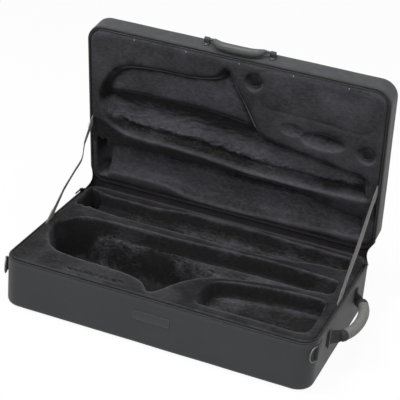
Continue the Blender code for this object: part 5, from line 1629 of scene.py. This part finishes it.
@dataclass
class HingeStrip:
    """The sewn cloth strip that joins the lid's back wall to the base's."""

    finishes: Wardrobe
    thick: float = 1.2 * MM
    lap: float = 22 * MM
    web_sag: float = 12 * MM

    def web(self, side: str) -> bpy.types.Object:
        """Make the soft web of cloth that closes the corner beside the hinge.

        Args:
            side: "left" or "right".

        Returns:
            The web.
        """
        sign = 1.0 if side == "right" else -1.0
        lid = PLAN.matrix(Half.LID)
        columns = 16
        rows = 9
        verts: list[Vector] = []
        for radius in (PLAN.corner + 0.3 * MM + self.thick, PLAN.corner + 0.3 * MM):
            for column in range(columns):
                turn = math.radians(90 - 76 * max(column - 1, 0) / (columns - 2))
                tuck = 0.0 if column else 8 * MM
                x = sign * (PLAN.length / 2 - PLAN.corner - tuck + radius * math.cos(turn))
                y = PLAN.width / 2 - PLAN.corner + radius * math.sin(turn)
                foot = Vector((x, y, PLAN.base_height - 1 * MM))
                head = lid @ Vector((x, y, PLAN.lid_height - 1 * MM))
                inward = Vector((-sign * self.web_sag * (column / (columns - 1)) ** 1.5, 0.0, 0.0))
                for row in range(rows):
                    share = row / (rows - 1)
                    verts.append(foot.lerp(head, share) + inward * math.sin(math.pi * share))
        sheet = columns * rows
        faces = []
        for column in range(columns - 1):
            for row in range(rows - 1):
                first = column * rows + row
                faces.append([first, first + 1, first + rows + 1, first + rows])
                faces.append([sheet + index for index in faces[-1]][::-1])
        edge = list(range(rows)) + [column * rows + rows - 1 for column in range(1, columns)]
        edge += (
            [(columns - 1) * rows + row for row in range(rows - 2, -1, -1)]
            + [column * rows for column in range(columns - 2, 0, -1)]
        )
        for here, there in zip(edge, edge[1:] + edge[:1]):
            faces.append([here, there, sheet + there, sheet + here])
        made = Build.thing(f"{side}_hinge_web", verts, faces, self.finishes.hinge_cloth, None, 60.0)
        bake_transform(made)
        return made

    def build(self) -> list[bpy.types.Object]:
        """Build the strip, its two seams and the webs at its ends."""
        node = "hinge_strip"
        half_x = high_corner(node).x
        face = PLAN.width / 2 + 0.3 * MM + self.thick / 2
        lid = PLAN.matrix(Half.LID)
        rows = [
            Vector((0.0, face, PLAN.base_height - self.lap * share)) for share in (1.0, 0.75, 0.5, 0.25, 0.0)
        ]
        rows += [
            lid @ Vector((0.0, face, PLAN.lid_height - self.lap * share))
            for share in (0.0, 0.25, 0.5, 0.75, 1.0)
        ]
        bend = (rows[4] + rows[5]) / 2 + Vector((0.0, 1.2 * MM, -0.6 * MM))
        rows.insert(5, bend)
        line = Build.smooth_line([tuple(row) for row in rows], 4)
        section = Build.strap_section(2 * half_x, self.thick)
        verts, faces = Build.sweep(line, section, (1.0, 0.0, 0.0))
        made = Build.thing("hinge_cloth", verts, faces, self.finishes.hinge_cloth)
        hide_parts(node)
        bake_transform(made)
        pieces = [made]
        for half in Half:
            level = PLAN.height(half) - self.lap + 3 * MM
            out = face + self.thick * 0.55
            path = [(-half_x + 4 * MM, out, level), (half_x - 4 * MM, out, level)]
            verts, faces = Build.stitches(
                path, lambda _: Vector((0.0, 1.0, 0.0)), 3.2 * MM, 1.6 * MM, 0.35 * MM, False
            )
            seam = Build.thing(f"hinge_{half.value}_stitches", verts, faces, self.finishes.thread, half, 80.0)
            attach(seam, half.value)
            pieces.append(seam)
        return pieces + [self.web("left"), self.web("right")]


@dataclass
class Label:
    """The bare sewn patch on the front."""

    finishes: Wardrobe
    border: float = 2.8 * MM
    depth: float = 0.5 * MM

    def build(self) -> list[bpy.types.Object]:
        """Build the patch and the stitches round it."""
        low = low_corner("label_patch")
        high = high_corner("label_patch")
        half_x = (high.x - low.x) / 2
        half_y = (high.z - low.z) / 2
        thick = high.y - low.y
        centre = (low + high) / 2
        profile = [
            (0.0, 0.0), (0.0, 0.7 * thick), (0.3 * MM, 0.93 * thick), (0.8 * MM, thick), (
                self.border - 0.4 * MM, thick
            ),
            (self.border, thick - 0.15 * MM), (
                self.border + 0.4 * MM, thick - self.depth
            ), (half_y - 0.5 * MM, thick - self.depth),
        ]
        verts = []
        faces = []
        for inset, height in profile:
            ring = Build.rounded_line(half_x - inset, half_y - inset, max(3 * MM - inset, 0.4 * MM), 1.0, 5)
            verts.append([Vector((x, high.y - height, centre.z + y)) for x, y in ring])
        size = len(verts[0])
        flat = [point for ring in verts for point in ring]
        for row in range(len(verts) - 1):
            here = row * size
            faces += Build.belt(here, here + size, size)
        faces.append([(len(verts) - 1) * size + k for k in range(size)])
        faces.append(list(range(size))[::-1])
        patch = Build.thing("bare_label_patch", flat, faces, self.finishes.label)
        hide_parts("label_patch")
        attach(patch, "base")
        inset = self.border * 0.5
        ring = Build.rounded_line(half_x - inset, half_y - inset, 2 * MM, 6 * MM, 5)
        path = [(x, low.y - 0.05 * MM, centre.z + y) for x, y in ring]
        verts, faces = Build.stitches(
            path, lambda _: Vector((0.0, -1.0, 0.0)), 2.4 * MM, 1.2 * MM, 0.3 * MM, True
        )
        seam = Build.thing("label_stitches", verts, faces, self.finishes.thread, None, 80.0)
        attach(seam, "base")
        return [patch, seam]


@dataclass
class StrapRings:
    """The two D-rings for a shoulder strap and their webbing tabs."""

    finishes: Wardrobe
    wire: float = 1.8 * MM
    width: float = 40 * MM
    depth: float = 26 * MM
    tab: float = 34 * MM
    tab_thick: float = 1.5 * MM
    corner_angle: float = math.radians(20)

    def ring(self, side: str) -> bpy.types.Object:
        """Bend one ring."""
        sign = -1.0 if side == "left" else 1.0
        bar = Vector(joint(f"{side}_ring_swing")["pos_m"])
        half = self.width / 2 - self.wire
        heading = Vector((-sign * math.sin(self.corner_angle), -math.cos(self.corner_angle), 0.0))
        bend = 4 * MM
        outline: list[Pair] = [(0.0, -half + bend + (2 * half - 2 * bend) * n / 8) for n in range(9)]
        outline += [(bend * (1 - math.cos(a)), half - bend + bend * math.sin(a)) for a in (0.5, 1.0)]
        reach = self.depth - self.wire
        outline += [
            (bend + (reach - bend) * math.cos(a) ** 0.8, half * math.sin(a))
            for a in np.linspace(math.pi / 2, 0.0, 13)
        ]
        outline += [(out, -up) for out, up in outline[9:-1][::-1]]
        path = [bar + heading * out + Vector((0.0, 0.0, up)) for out, up in outline]
        normal = heading.cross(Vector((0.0, 0.0, 1.0)))
        verts, faces = Build.sweep(path, Build.disc(self.wire, 14), tuple(normal), closed=True)
        made = Build.thing(f"{side}_d_ring", verts, faces, self.finishes.nickel)
        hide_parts(f"{side}_strap_ring")
        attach(made, f"{side}_strap_ring")
        return made

    def tab_strap(self, side: str) -> list[bpy.types.Object]:
        """Lay the webbing tab round the corner and round the ring's bar."""
        sign = -1.0 if side == "left" else 1.0
        bar = Vector(joint(f"{side}_ring_swing")["pos_m"])
        middle = Vector((sign * (PLAN.length / 2 - PLAN.corner), -PLAN.width / 2 + PLAN.corner, bar.z))
        near = PLAN.corner + 0.3 * MM + self.tab_thick / 2
        tail = high_corner(f"{side}_ring_tab").y
        path = [Vector((middle.x + sign * near, y, bar.z)) for y in np.linspace(tail, middle.y, 5)]
        for angle in np.linspace(0.1, 1.0, 4) * (self.corner_angle * 0.86):
            path.append(middle + near * Vector((sign * math.cos(angle), -math.sin(angle), 0.0)))
        wrap = self.wire + 0.3 * MM + self.tab_thick / 2
        inward = math.atan2(-math.sin(self.corner_angle), sign * math.cos(self.corner_angle)) + math.pi
        for share in np.linspace(0.12, 0.80, 12):
            angle = inward + sign * math.tau * share
            path.append(bar + wrap * Vector((math.cos(angle), math.sin(angle), 0.0)))
        section = Build.strap_section(self.tab, self.tab_thick)
        verts, faces = Build.sweep(path, section)
        made = Build.thing(f"{side}_tab_webbing", verts, faces, self.finishes.dark_webbing)
        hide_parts(f"{side}_ring_tab")
        wall = PLAN.length / 2 + 0.3 * MM + self.tab_thick
        low = bar.z - self.tab / 2 + 3 * MM
        high = bar.z + self.tab / 2 - 3 * MM
        front = middle.y + 3 * MM
        back = tail - 3 * MM
        corners = [(back, low), (back, high), (front, high), (front, low), (back, low), (front, high)]
        line = [(sign * wall, y, z) for y, z in corners]
        verts, faces = Build.stitches(
            line, lambda _: Vector((sign, 0.0, 0.0)), 2.6 * MM, 1.1 * MM, 0.35 * MM, False
        )
        seam = Build.thing(f"{side}_tab_stitches", verts, faces, self.finishes.thread, None, 80.0)
        for piece in (made, seam):
            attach(piece, "base")
        return [made, seam]

    def build(self) -> list[bpy.types.Object]:
        """Build both rings and tabs."""
        return [piece for side in ("left", "right") for piece in (self.ring(side), *self.tab_strap(side))]


@dataclass
class EndHandle:
    """The ribbed handle on the right end, its straps and its sewn anchors."""

    finishes: Wardrobe
    radius: float = 12.5 * MM
    groove: float = 1.5 * MM
    ribs: int = 22
    front: float = -112 * MM
    back: float = 90 * MM
    reach: float = 44 * MM
    strap: float = 36 * MM
    thick: float = 3 * MM

    def line(self, share: float) -> Vector:
        """Give a point on the handle's centre line."""
        angle = math.radians(12.5 + 155.0 * share)
        middle = (self.front + self.back) / 2
        half = (self.back - self.front) / 2
        level = joint("end_handle_flex")["pos_m"][2]
        reach = PLAN.length / 2 + self.reach * math.sin(angle) ** 0.8
        return Vector((reach, middle - half * 0.86 * math.cos(angle), level))

    def grip(self) -> bpy.types.Object:
        """Make the padded, ribbed grip."""
        first = 4.0 / (2 * self.ribs)
        count = self.ribs * 8
        path = [self.line(first + (1 - 2 * first) * n / count) for n in range(count + 1)]
        scales = []
        for n in range(count + 1):
            wave = abs(math.sin(math.pi * n / 8.0)) ** 0.6
            size = (self.radius - self.groove * (1.0 - wave)) / self.radius
            end = min(n, count - n) / 5.0
            round_end = math.sqrt(max(1.0 - (1.0 - min(end, 1.0)) ** 2, 0.05))
            scales.append((size * round_end, size * round_end))
        verts, faces = Build.sweep(path, Build.disc(self.radius, 24), scales=scales)
        made = Build.thing("end_grip_pad", verts, faces, self.finishes.grip_cloth, None, 50.0)
        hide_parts("end_handle_grip")
        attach(made, "end_handle")
        return made

    def strap_end(self, name: str) -> list[bpy.types.Object]:
        """Make one strap between the grip and the case, and the cuff round the grip's end."""
        toward = -1.0 if name == "front" else 1.0
        wall = PLAN.length / 2 + 0.3 * MM + self.thick / 2
        level = self.line(0.0).z
        flip = (lambda share: share) if name == "front" else (lambda share: 1.0 - share)
        ends = [self.line(flip(share)) for share in (0.0, 0.03, 0.06, 0.10)]
        low = low_corner(f"end_handle_{name}_tab").y
        high = high_corner(f"end_handle_{name}_tab").y
        foot = low + 1 * MM if name == "front" else high - 1 * MM
        path = [Vector((wall, foot, level)), Vector((wall, foot - toward * 8 * MM, level))]
        path.append(Vector(((wall + ends[1].x) / 2, (foot - toward * 14 * MM + ends[1].y) / 2, level)))
        path += [ends[2], ends[3]]
        line = Build.smooth_line([tuple(p) for p in path], 6)
        count = len(line) - 1
        scales = [(1.0, 1.0 - 0.22 * (n / count) ** 2) for n in range(count + 1)]
        verts, faces = Build.sweep(line, Build.strap_section(self.strap, self.thick), scales=scales)
        made = Build.thing(f"end_handle_{name}_strap", verts, faces, self.finishes.dark_webbing)
        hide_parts(f"end_handle_{name}_tab")
        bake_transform(made)
        cuff_path = [self.line(flip(share)) for share in np.linspace(0.075, 0.165, 8)]
        cuff_scales = [(size, size) for size in (0.62, 0.86, 0.97, 1.0, 1.0, 1.0, 0.99, 0.93)]
        verts, faces = Build.sweep(cuff_path, Build.disc(self.radius + 0.9 * MM, 24), scales=cuff_scales)
        cuff = Build.thing(f"end_handle_{name}_cuff", verts, faces, self.finishes.dark_webbing, None, 60.0)
        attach(cuff, "end_handle")
        return [made, cuff, *self.anchor(name)]

    def anchor(self, name: str) -> list[bpy.types.Object]:
        """Make the sewn bar that holds one strap to the case."""
        low = low_corner(f"end_handle_{name}_anchor")
        high = high_corner(f"end_handle_{name}_anchor")
        centre = (low + high) / 2
        thick = high.x - low.x
        path = [(centre.x, centre.y, z) for z in np.linspace(low.z, high.z, 15)]
        scales = [(1.0, 1.0)] * 15
        scales[0] = scales[-1] = (0.6, 0.8)
        scales[1] = scales[-2] = (0.95, 0.97)
        verts, faces = Build.sweep(
            path, Build.strap_section(high.y - low.y, thick), (0.0, 1.0, 0.0), scales=scales
        )
        made = Build.thing(f"end_handle_{name}_anchor_bar", verts, faces, self.finishes.dark_webbing)
        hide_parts(f"end_handle_{name}_anchor")
        side = high.x + 0.1 * MM
        wide = (high.y - low.y) / 2 - 2 * MM
        tall = (high.z - low.z) / 2 - 3 * MM
        rows: tuple[list[Vector], list[list[int]]] = ([], [])
        for shift in (-wide, wide):
            line = [(side, centre.y + shift, centre.z - tall), (side, centre.y + shift, centre.z + tall)]
            verts, faces = Build.stitches(
                line, lambda _: Vector((1.0, 0.0, 0.0)), 2.4 * MM, 1.0 * MM, 0.35 * MM, False
            )
            base = len(rows[0])
            rows[0].extend(verts)
            rows[1].extend([[index + base for index in one] for one in faces])
        seam = Build.thing(f"end_handle_{name}_anchor_stitches", *rows, self.finishes.thread, None, 80.0)
        for piece in (made, seam):
            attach(piece, "base")
        return [made, seam]

    def build(self) -> list[bpy.types.Object]:
        """Build the handle."""
        return [self.grip(), *self.strap_end("front"), *self.strap_end("back")]


@dataclass
class CarryHandle:
    """The padded handle on the lid's front wall, its brackets and rivets."""

    finishes: Wardrobe
    half_span: float = 76 * MM
    drop: float = 20 * MM
    radius: float = 10 * MM
    pin: float = 3 * MM
    bracket: float = 18 * MM
    stand_off: float = 12.5 * MM
    setback: float = 28 * MM

    def grip(self) -> bpy.types.Object:
        """Make the grip in the lid's own coordinates."""
        reach = self.half_span - self.bracket / 2
        pin = self.bracket * 0.6
        half = [
            (reach + pin, 0.0, 0.30), (reach + 0.3 * pin, 0.0, 0.30), (reach - 0.2 * pin, 0.0, 0.32),
            (reach - 0.6 * pin, 0.12, 0.55), (reach - 1.2 * pin, 0.48, 0.80), (reach - 2.2 * pin, 0.84, 0.95),
            (reach - 3.6 * pin, 1.0, 1.0),
        ]
        keys = [(x, fall, size) for x, fall, size in half]
        keys += [(0.0, 1.04, 1.02)] + [(-x, fall, size) for x, fall, size in half[::-1]]
        line = Build.smooth_line(keys, 6)
        y = -PLAN.width / 2 - self.stand_off
        path = [(x, y, self.setback + fall * self.drop) for x, fall, _ in line]
        scales = [(size, size) for _, _, size in line]
        verts, faces = Build.sweep(path, Build.disc(self.radius, 22), (0.0, 1.0, 0.0), scales=scales)
        made = Build.thing("carry_grip", verts, faces, self.finishes.grip, Half.LID, 50.0)
        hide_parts("carry_handle")
        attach(made, "carry_handle")
        return made

    def seam(self) -> bpy.types.Object:
        """Sew the seam along the grip's wall side."""
        y = -PLAN.width / 2 - self.stand_off
        reach = self.half_span - 3.6 * self.bracket * 0.6
        path = [
            (x, y + 0.72 * self.radius, self.setback + self.drop + 0.74 * self.radius)
            for x in np.linspace(-reach, reach, 20)
        ]
        out = Vector((0.0, 0.7, 0.7))
        verts, faces = Build.stitches(path, lambda _: out, 3.0 * MM, 1.4 * MM, 0.4 * MM, False)
        made = Build.thing("carry_grip_stitches", verts, faces, self.finishes.thread, Half.LID, 80.0)
        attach(made, "carry_handle")
        return made

    def mount(self, side: str) -> list[bpy.types.Object]:
        """Make one bracket and its two rivets."""
        sign = -1.0 if side == "left" else 1.0
        x = sign * (self.half_span + self.bracket * 0.25)
        wall = -PLAN.width / 2 - 0.3 * MM
        out = -PLAN.width / 2 - self.stand_off - 3.9 * MM
        top = 10.8 * MM
        body = 4.2 * MM
        plate = 2.0 * MM
        profile = [
            (wall, -top), (wall - plate * 0.7, -top), (
                wall - plate, -top + 0.8 * MM
            ), (wall - plate, -body - 1 * MM),
            (wall - plate - 0.8 * MM, -body), (out + 3 * MM, -body), (
                out + 0.8 * MM, -body + 1.6 * MM
            ), (out, -2 * MM),
            (out, 2 * MM), (
                out + 0.8 * MM, body - 1.6 * MM
            ), (out + 3 * MM, body), (wall - plate - 0.8 * MM, body),
            (wall - plate, body + 1 * MM), (
                wall - plate, top - 0.8 * MM
            ), (wall - plate * 0.7, top), (wall, top),
        ]
        centre_y = (wall + out) / 2
        verts = []
        widths = [(-0.36, 0.90), (-0.32, 1.0), (0.32, 1.0), (0.36, 0.90)]
        for share, size in widths:
            for py, ph in profile:
                deep = centre_y + (py - centre_y) * (size if py < wall else 1.0)
                verts.append(Vector((x + share * self.bracket, deep, self.setback + ph * size)))
        count = len(profile)
        faces = []
        for row in range(3):
            here = row * count
            faces += Build.belt(here, here + count, count)
        faces += [list(range(count))[::-1], [3 * count + k for k in range(count)]]
        made = Build.thing(f"{side}_handle_bracket", verts, faces, self.finishes.plastic, Half.LID, 35.0)
        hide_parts(f"{side}_carry_bracket")
        pieces = [made]
        for level, name in ((1.0, "outer"), (-1.0, "inner")):
            sort = "inner" if name == "outer" else "outer"
            spot = Vector((x, wall - plate, self.setback + level * 8.6 * MM))
            verts, faces = Build.dome(spot, Vector((0.0, -1.0, 0.0)), 2.8 * MM, 1.3 * MM)
            rivet = Build.thing(
                f"{side}_{sort}_rivet_head", verts, faces, self.finishes.nickel, Half.LID, 50.0
            )
            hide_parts(f"{side}_{sort}_bracket_rivet")
            pieces.append(rivet)
        for piece in pieces:
            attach(piece, "lid")
        return pieces

    def build(self) -> list[bpy.types.Object]:
        """Build the handle."""
        return [self.grip(), self.seam(), *self.mount("left"), *self.mount("right")]


@dataclass
class ZipSliders:
    """The two zip sliders at the hinge ends, and their pulls."""

    finishes: Wardrobe
    length: float = 14 * MM
    pull_length: float = 26 * MM

    @staticmethod
    def block(
        low: Sequence[float], high: Sequence[float], bevel: float
    ) -> tuple[list[Vector], list[list[int]]]:
        """Make a box with bevelled edges from two corners."""
        work = bmesh.new()
        bmesh.ops.create_cube(work, size=1.0)
        a = Vector(low)
        b = Vector(high)
        for vert in work.verts:
            vert.co = Vector(((a[i] + b[i]) / 2 + vert.co[i] * (b[i] - a[i]) for i in range(3)))
        bmesh.ops.bevel(work, geom=work.edges[:], offset=bevel, segments=2, affect="EDGES")
        verts = [vert.co.copy() for vert in work.verts]
        faces = [[vert.index for vert in face.verts] for face in work.faces]
        work.free()
        return verts, faces

    def slider(self, side: str) -> list[bpy.types.Object]:
        """Make one slider and its pull."""
        sign = -1.0 if side == "left" else 1.0
        place = Vector(joint(f"{side}_zip_slide")["pos_m"])
        pivot = Vector(joint(f"{side}_pull_swing")["pos_m"])
        half = self.length / 2
        low = low_corner(f"{side}_zip_slider")
        high = high_corner(f"{side}_zip_slider")
        body: tuple[list[Vector], list[list[int]]] = ([], [])
        inner = place.x - sign * 2.45 * MM
        outer = place.x + sign * 2.45 * MM
        plates = [
            ((inner, place.y - half, low.z), (inner + sign * 1.0 * MM, place.y + half, high.z), 0.35 * MM),
            ((outer - sign * 1.0 * MM, place.y - half, low.z), (outer, place.y + half, high.z), 0.35 * MM),
            (
                (inner, place.y - half, place.z - 0.7 * MM), (outer, place.y + half, place.z + 0.7 * MM),
                0.2 * MM
            ),
        ]
        reach = pivot.x + sign * 0.8 * MM
        for level in (-1.0, 1.0):
            z = place.z + level * 3.1 * MM
            plates.append(
                ((outer, place.y - 2 * MM, z - 0.45 * MM), (reach, place.y + 2 * MM, z + 0.45 * MM), 0.3 * MM)
            )
        for one_low, one_high, bevel in plates:
            a = [min(p, q) for p, q in zip(one_low, one_high)]
            b = [max(p, q) for p, q in zip(one_low, one_high)]
            verts, faces = self.block(a, b, bevel)
            base = len(body[0])
            body[0].extend(verts)
            body[1].extend([[index + base for index in face] for face in faces])
        pin, pin_faces = Build.sweep(
            [(pivot.x, pivot.y, place.z - 3.4 * MM), (pivot.x, pivot.y, place.z + 3.4 * MM)],
            Build.disc(0.75 * MM), (1.0, 0.0, 0.0)
        )
        base = len(body[0])
        body[0].extend(pin)
        body[1].extend([[index + base for index in face] for face in pin_faces])
        made = Build.thing(f"{side}_slider_body", *body, self.finishes.black_plate)
        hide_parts(f"{side}_zip_slider")
        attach(made, f"{side}_zip_slider")
        ring = [
            pivot + 1.45 * MM * Vector((math.cos(a), math.sin(a), 0.0))
            for a in np.linspace(0, math.tau, 17)[:-1]
        ]
        tall = high_corner(f"{side}_zip_pull").z - low_corner(f"{side}_zip_pull").z
        parts = [
            Build.sweep(ring, [(a, b * tall / (1.0 * MM)) for a, b in Build.disc(0.5 * MM, 10)], closed=True)
        ]
        tip = pivot.y - self.pull_length
        low = (pivot.x - 0.7 * MM, tip, place.z - tall / 2)
        high = (pivot.x + 0.7 * MM, pivot.y - 1.4 * MM, place.z + tall / 2)
        parts.append(self.block(low, high, 0.45 * MM))
        for shift in (0.28, 0.42, 0.56, 0.70, 0.84):
            y = pivot.y - self.pull_length * shift
            low = (pivot.x - 0.95 * MM, y - 0.6 * MM, place.z - tall / 2 + 0.5 * MM)
            high = (pivot.x + 0.95 * MM, y + 0.6 * MM, place.z + tall / 2 - 0.5 * MM)
            parts.append(self.block(low, high, 0.25 * MM))
        verts = []
        faces = []
        for part_verts, part_faces in parts:
            base = len(verts)
            verts.extend(part_verts)
            faces.extend([[index + base for index in face] for face in part_faces])
        pull = Build.thing(f"{side}_pull_tongue", verts, faces, self.finishes.black_plate)
        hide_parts(f"{side}_zip_pull")
        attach(pull, f"{side}_zip_pull")
        return [made, pull]

    def build(self) -> list[bpy.types.Object]:
        """Build both sliders and pulls."""
        return self.slider("left") + self.slider("right")


@dataclass
class LidTrim:
    """Tacks along the lid's front rim and covered buttons in its lining."""

    finishes: Wardrobe

    def build(self) -> list[bpy.types.Object]:
        """Build every tack and button."""
        lid = PLAN.matrix(Half.LID)
        back = lid.inverted()
        pieces = []
        for number in range(1, 6):
            node = f"lid_rim_tack_{number}"
            spot = back @ ((low_corner(node) + high_corner(node)) / 2)
            spot.z = PLAN.pad_face(Half.LID) + 0.1 * MM
            verts, faces = Build.dome(spot, Vector((0.0, 0.0, 1.0)), 1.4 * MM, 0.8 * MM)
            tack = Build.thing(f"rim_tack_head_{number}", verts, faces, self.finishes.bright, Half.LID, 50.0)
            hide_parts(node)
            pieces.append(tack)
        for number in (1, 2):
            node = f"lid_lining_button_{number}"
            spot = back @ ((low_corner(node) + high_corner(node)) / 2)
            spot.z = PLAN.pad_face(Half.LID) - 6.0 * MM
            verts, faces = Build.dome(spot, Vector((0.0, 0.0, 1.0)), 10 * MM, 3.4 * MM, 28)
            button = Build.thing(
                f"covered_button_{number}", verts, faces, self.finishes.plush, Half.LID, 70.0
            )
            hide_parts(node)
            pieces.append(button)
        for piece in pieces:
            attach(piece, "lid")
        return pieces


@dataclass
class Studio:
    """Floor, light and camera."""

    camera_place: Point = (0.9629, -2.5793, 1.6794)
    camera_right: Point = (0.91997, 0.38376, 0.07991)
    camera_up: Point = (-0.24142, 0.39408, 0.88680)
    focal_length: float = 124.15
    sensor: float = 36.0
    ambient: float = 0.34
    floor_glow: float = 0.94

    def camera(self) -> None:
        """Set the camera at the photograph's viewpoint."""
        lens = bpy.data.cameras.new("photo_camera")
        lens.lens = self.focal_length
        lens.sensor_width = self.sensor
        lens.sensor_fit = "HORIZONTAL"
        lens.clip_end = 50.0
        camera = bpy.data.objects.new("photo_camera", lens)
        right = Vector(self.camera_right).normalized()
        up = Vector(self.camera_up).normalized()
        back = right.cross(up)
        turn = Matrix((right, up, back)).transposed().to_4x4()
        camera.matrix_world = Matrix.Translation(self.camera_place) @ turn
        bpy.context.scene.collection.objects.link(camera)
        bpy.context.scene.camera = camera

    def lamp(self, name: str, place: Point, size: float, power: float) -> None:
        """Hang a soft square lamp that faces the case.

        Args:
            name: The lamp's name.
            place: Where it hangs.
            size: Its side.
            power: Its power in watts.
        """
        light = bpy.data.lights.new(name, "AREA")
        light.shape = "SQUARE"
        light.size = size
        light.energy = power
        obj = bpy.data.objects.new(name, light)
        obj.location = place
        aim = Vector((0.0, 0.1, 0.2)) - Vector(place)
        obj.rotation_euler = aim.to_track_quat("-Z", "Y").to_euler()
        bpy.context.scene.collection.objects.link(obj)

    def backdrop(self) -> None:
        """Lay the pale floor and set the pale surroundings."""
        size = 6.0
        mesh = bpy.data.meshes.new("floor")
        mesh.from_pydata(
            [(-size, -size, 0.0), (size, -size, 0.0), (size, size, 0.0), (-size, size, 0.0)], [],
            [(0, 1, 2, 3)]
        )
        floor = bpy.data.objects.new("floor", mesh)
        floor.location.z = -0.5 * MM
        bpy.context.scene.collection.objects.link(floor)
        made = bpy.data.materials.new("pale_floor")
        made.use_nodes = True
        ink = Ink(made.node_tree)
        made.node_tree.nodes.clear()
        matte = ink.node("ShaderNodeBsdfDiffuse")
        matte.inputs["Color"].default_value = (0.86, 0.86, 0.86, 1.0)
        glow = ink.node("ShaderNodeEmission")
        glow.inputs["Color"].default_value = (1.0, 1.0, 1.0, 1.0)
        paths = ink.node("ShaderNodeLightPath")
        seen = ink.math("MAXIMUM", paths.outputs["Is Camera Ray"], paths.outputs["Is Glossy Ray"])
        seen = ink.math("MAXIMUM", seen, paths.outputs["Is Transmission Ray"])
        mix = ink.node("ShaderNodeMixShader")
        ink.link(ink.math("MULTIPLY", seen, self.floor_glow), mix.inputs[0])
        ink.link(matte.outputs[0], mix.inputs[1])
        ink.link(glow.outputs[0], mix.inputs[2])
        end = ink.node("ShaderNodeOutputMaterial")
        ink.link(mix.outputs[0], end.inputs["Surface"])
        mesh.materials.append(made)
        world = bpy.data.worlds.new("pale_room")
        bpy.context.scene.world = world
        world.use_nodes = True
        ink = Ink(world.node_tree)
        world.node_tree.nodes.clear()
        plain = ink.node("ShaderNodeBackground")
        plain.inputs["Color"].default_value = (1.0, 1.0, 1.0, 1.0)
        plain.inputs["Strength"].default_value = self.ambient
        white = ink.node("ShaderNodeBackground")
        white.inputs["Color"].default_value = (1.0, 1.0, 1.0, 1.0)
        white.inputs["Strength"].default_value = 1.0
        paths = ink.node("ShaderNodeLightPath")
        seen = ink.math("MAXIMUM", paths.outputs["Is Camera Ray"], paths.outputs["Is Glossy Ray"])
        seen = ink.math("MAXIMUM", seen, paths.outputs["Is Transmission Ray"])
        mix = ink.node("ShaderNodeMixShader")
        ink.link(seen, mix.inputs[0])
        ink.link(plain.outputs[0], mix.inputs[1])
        ink.link(white.outputs[0], mix.inputs[2])
        end = ink.node("ShaderNodeOutputWorld")
        ink.link(mix.outputs[0], end.inputs["Surface"])

    def build(self) -> None:
        """Set camera, lamps and backdrop."""
        bpy.context.scene.view_settings.view_transform = "Standard"
        self.camera()
        self.backdrop()
        self.lamp("key_lamp", (-1.0, -0.9, 2.8), 1.1, 50.0)
        self.lamp("fill_lamp", (1.6, -2.4, 1.5), 1.8, 22.0)
        self.lamp("top_lamp", (0.5, -0.1, 2.6), 1.0, 26.0)


def main() -> None:
    """Build the case's look and report each piece."""
    finishes = Wardrobe()
    Studio().build()
    makers = (
        Covers(finishes), ZipBand(finishes), BaseLining(finishes), LidLining(finishes), LidTrim(finishes),
        Stays(finishes), HingeStrip(finishes), Label(finishes), StrapRings(finishes), EndHandle(finishes),
        CarryHandle(finishes), ZipSliders(finishes),
    )
    for maker in makers:
        for made in maker.build():
            LOG.info("%s: %d faces", made.name, len(made.data.polygons))


if __name__ == "__main__":
    main()
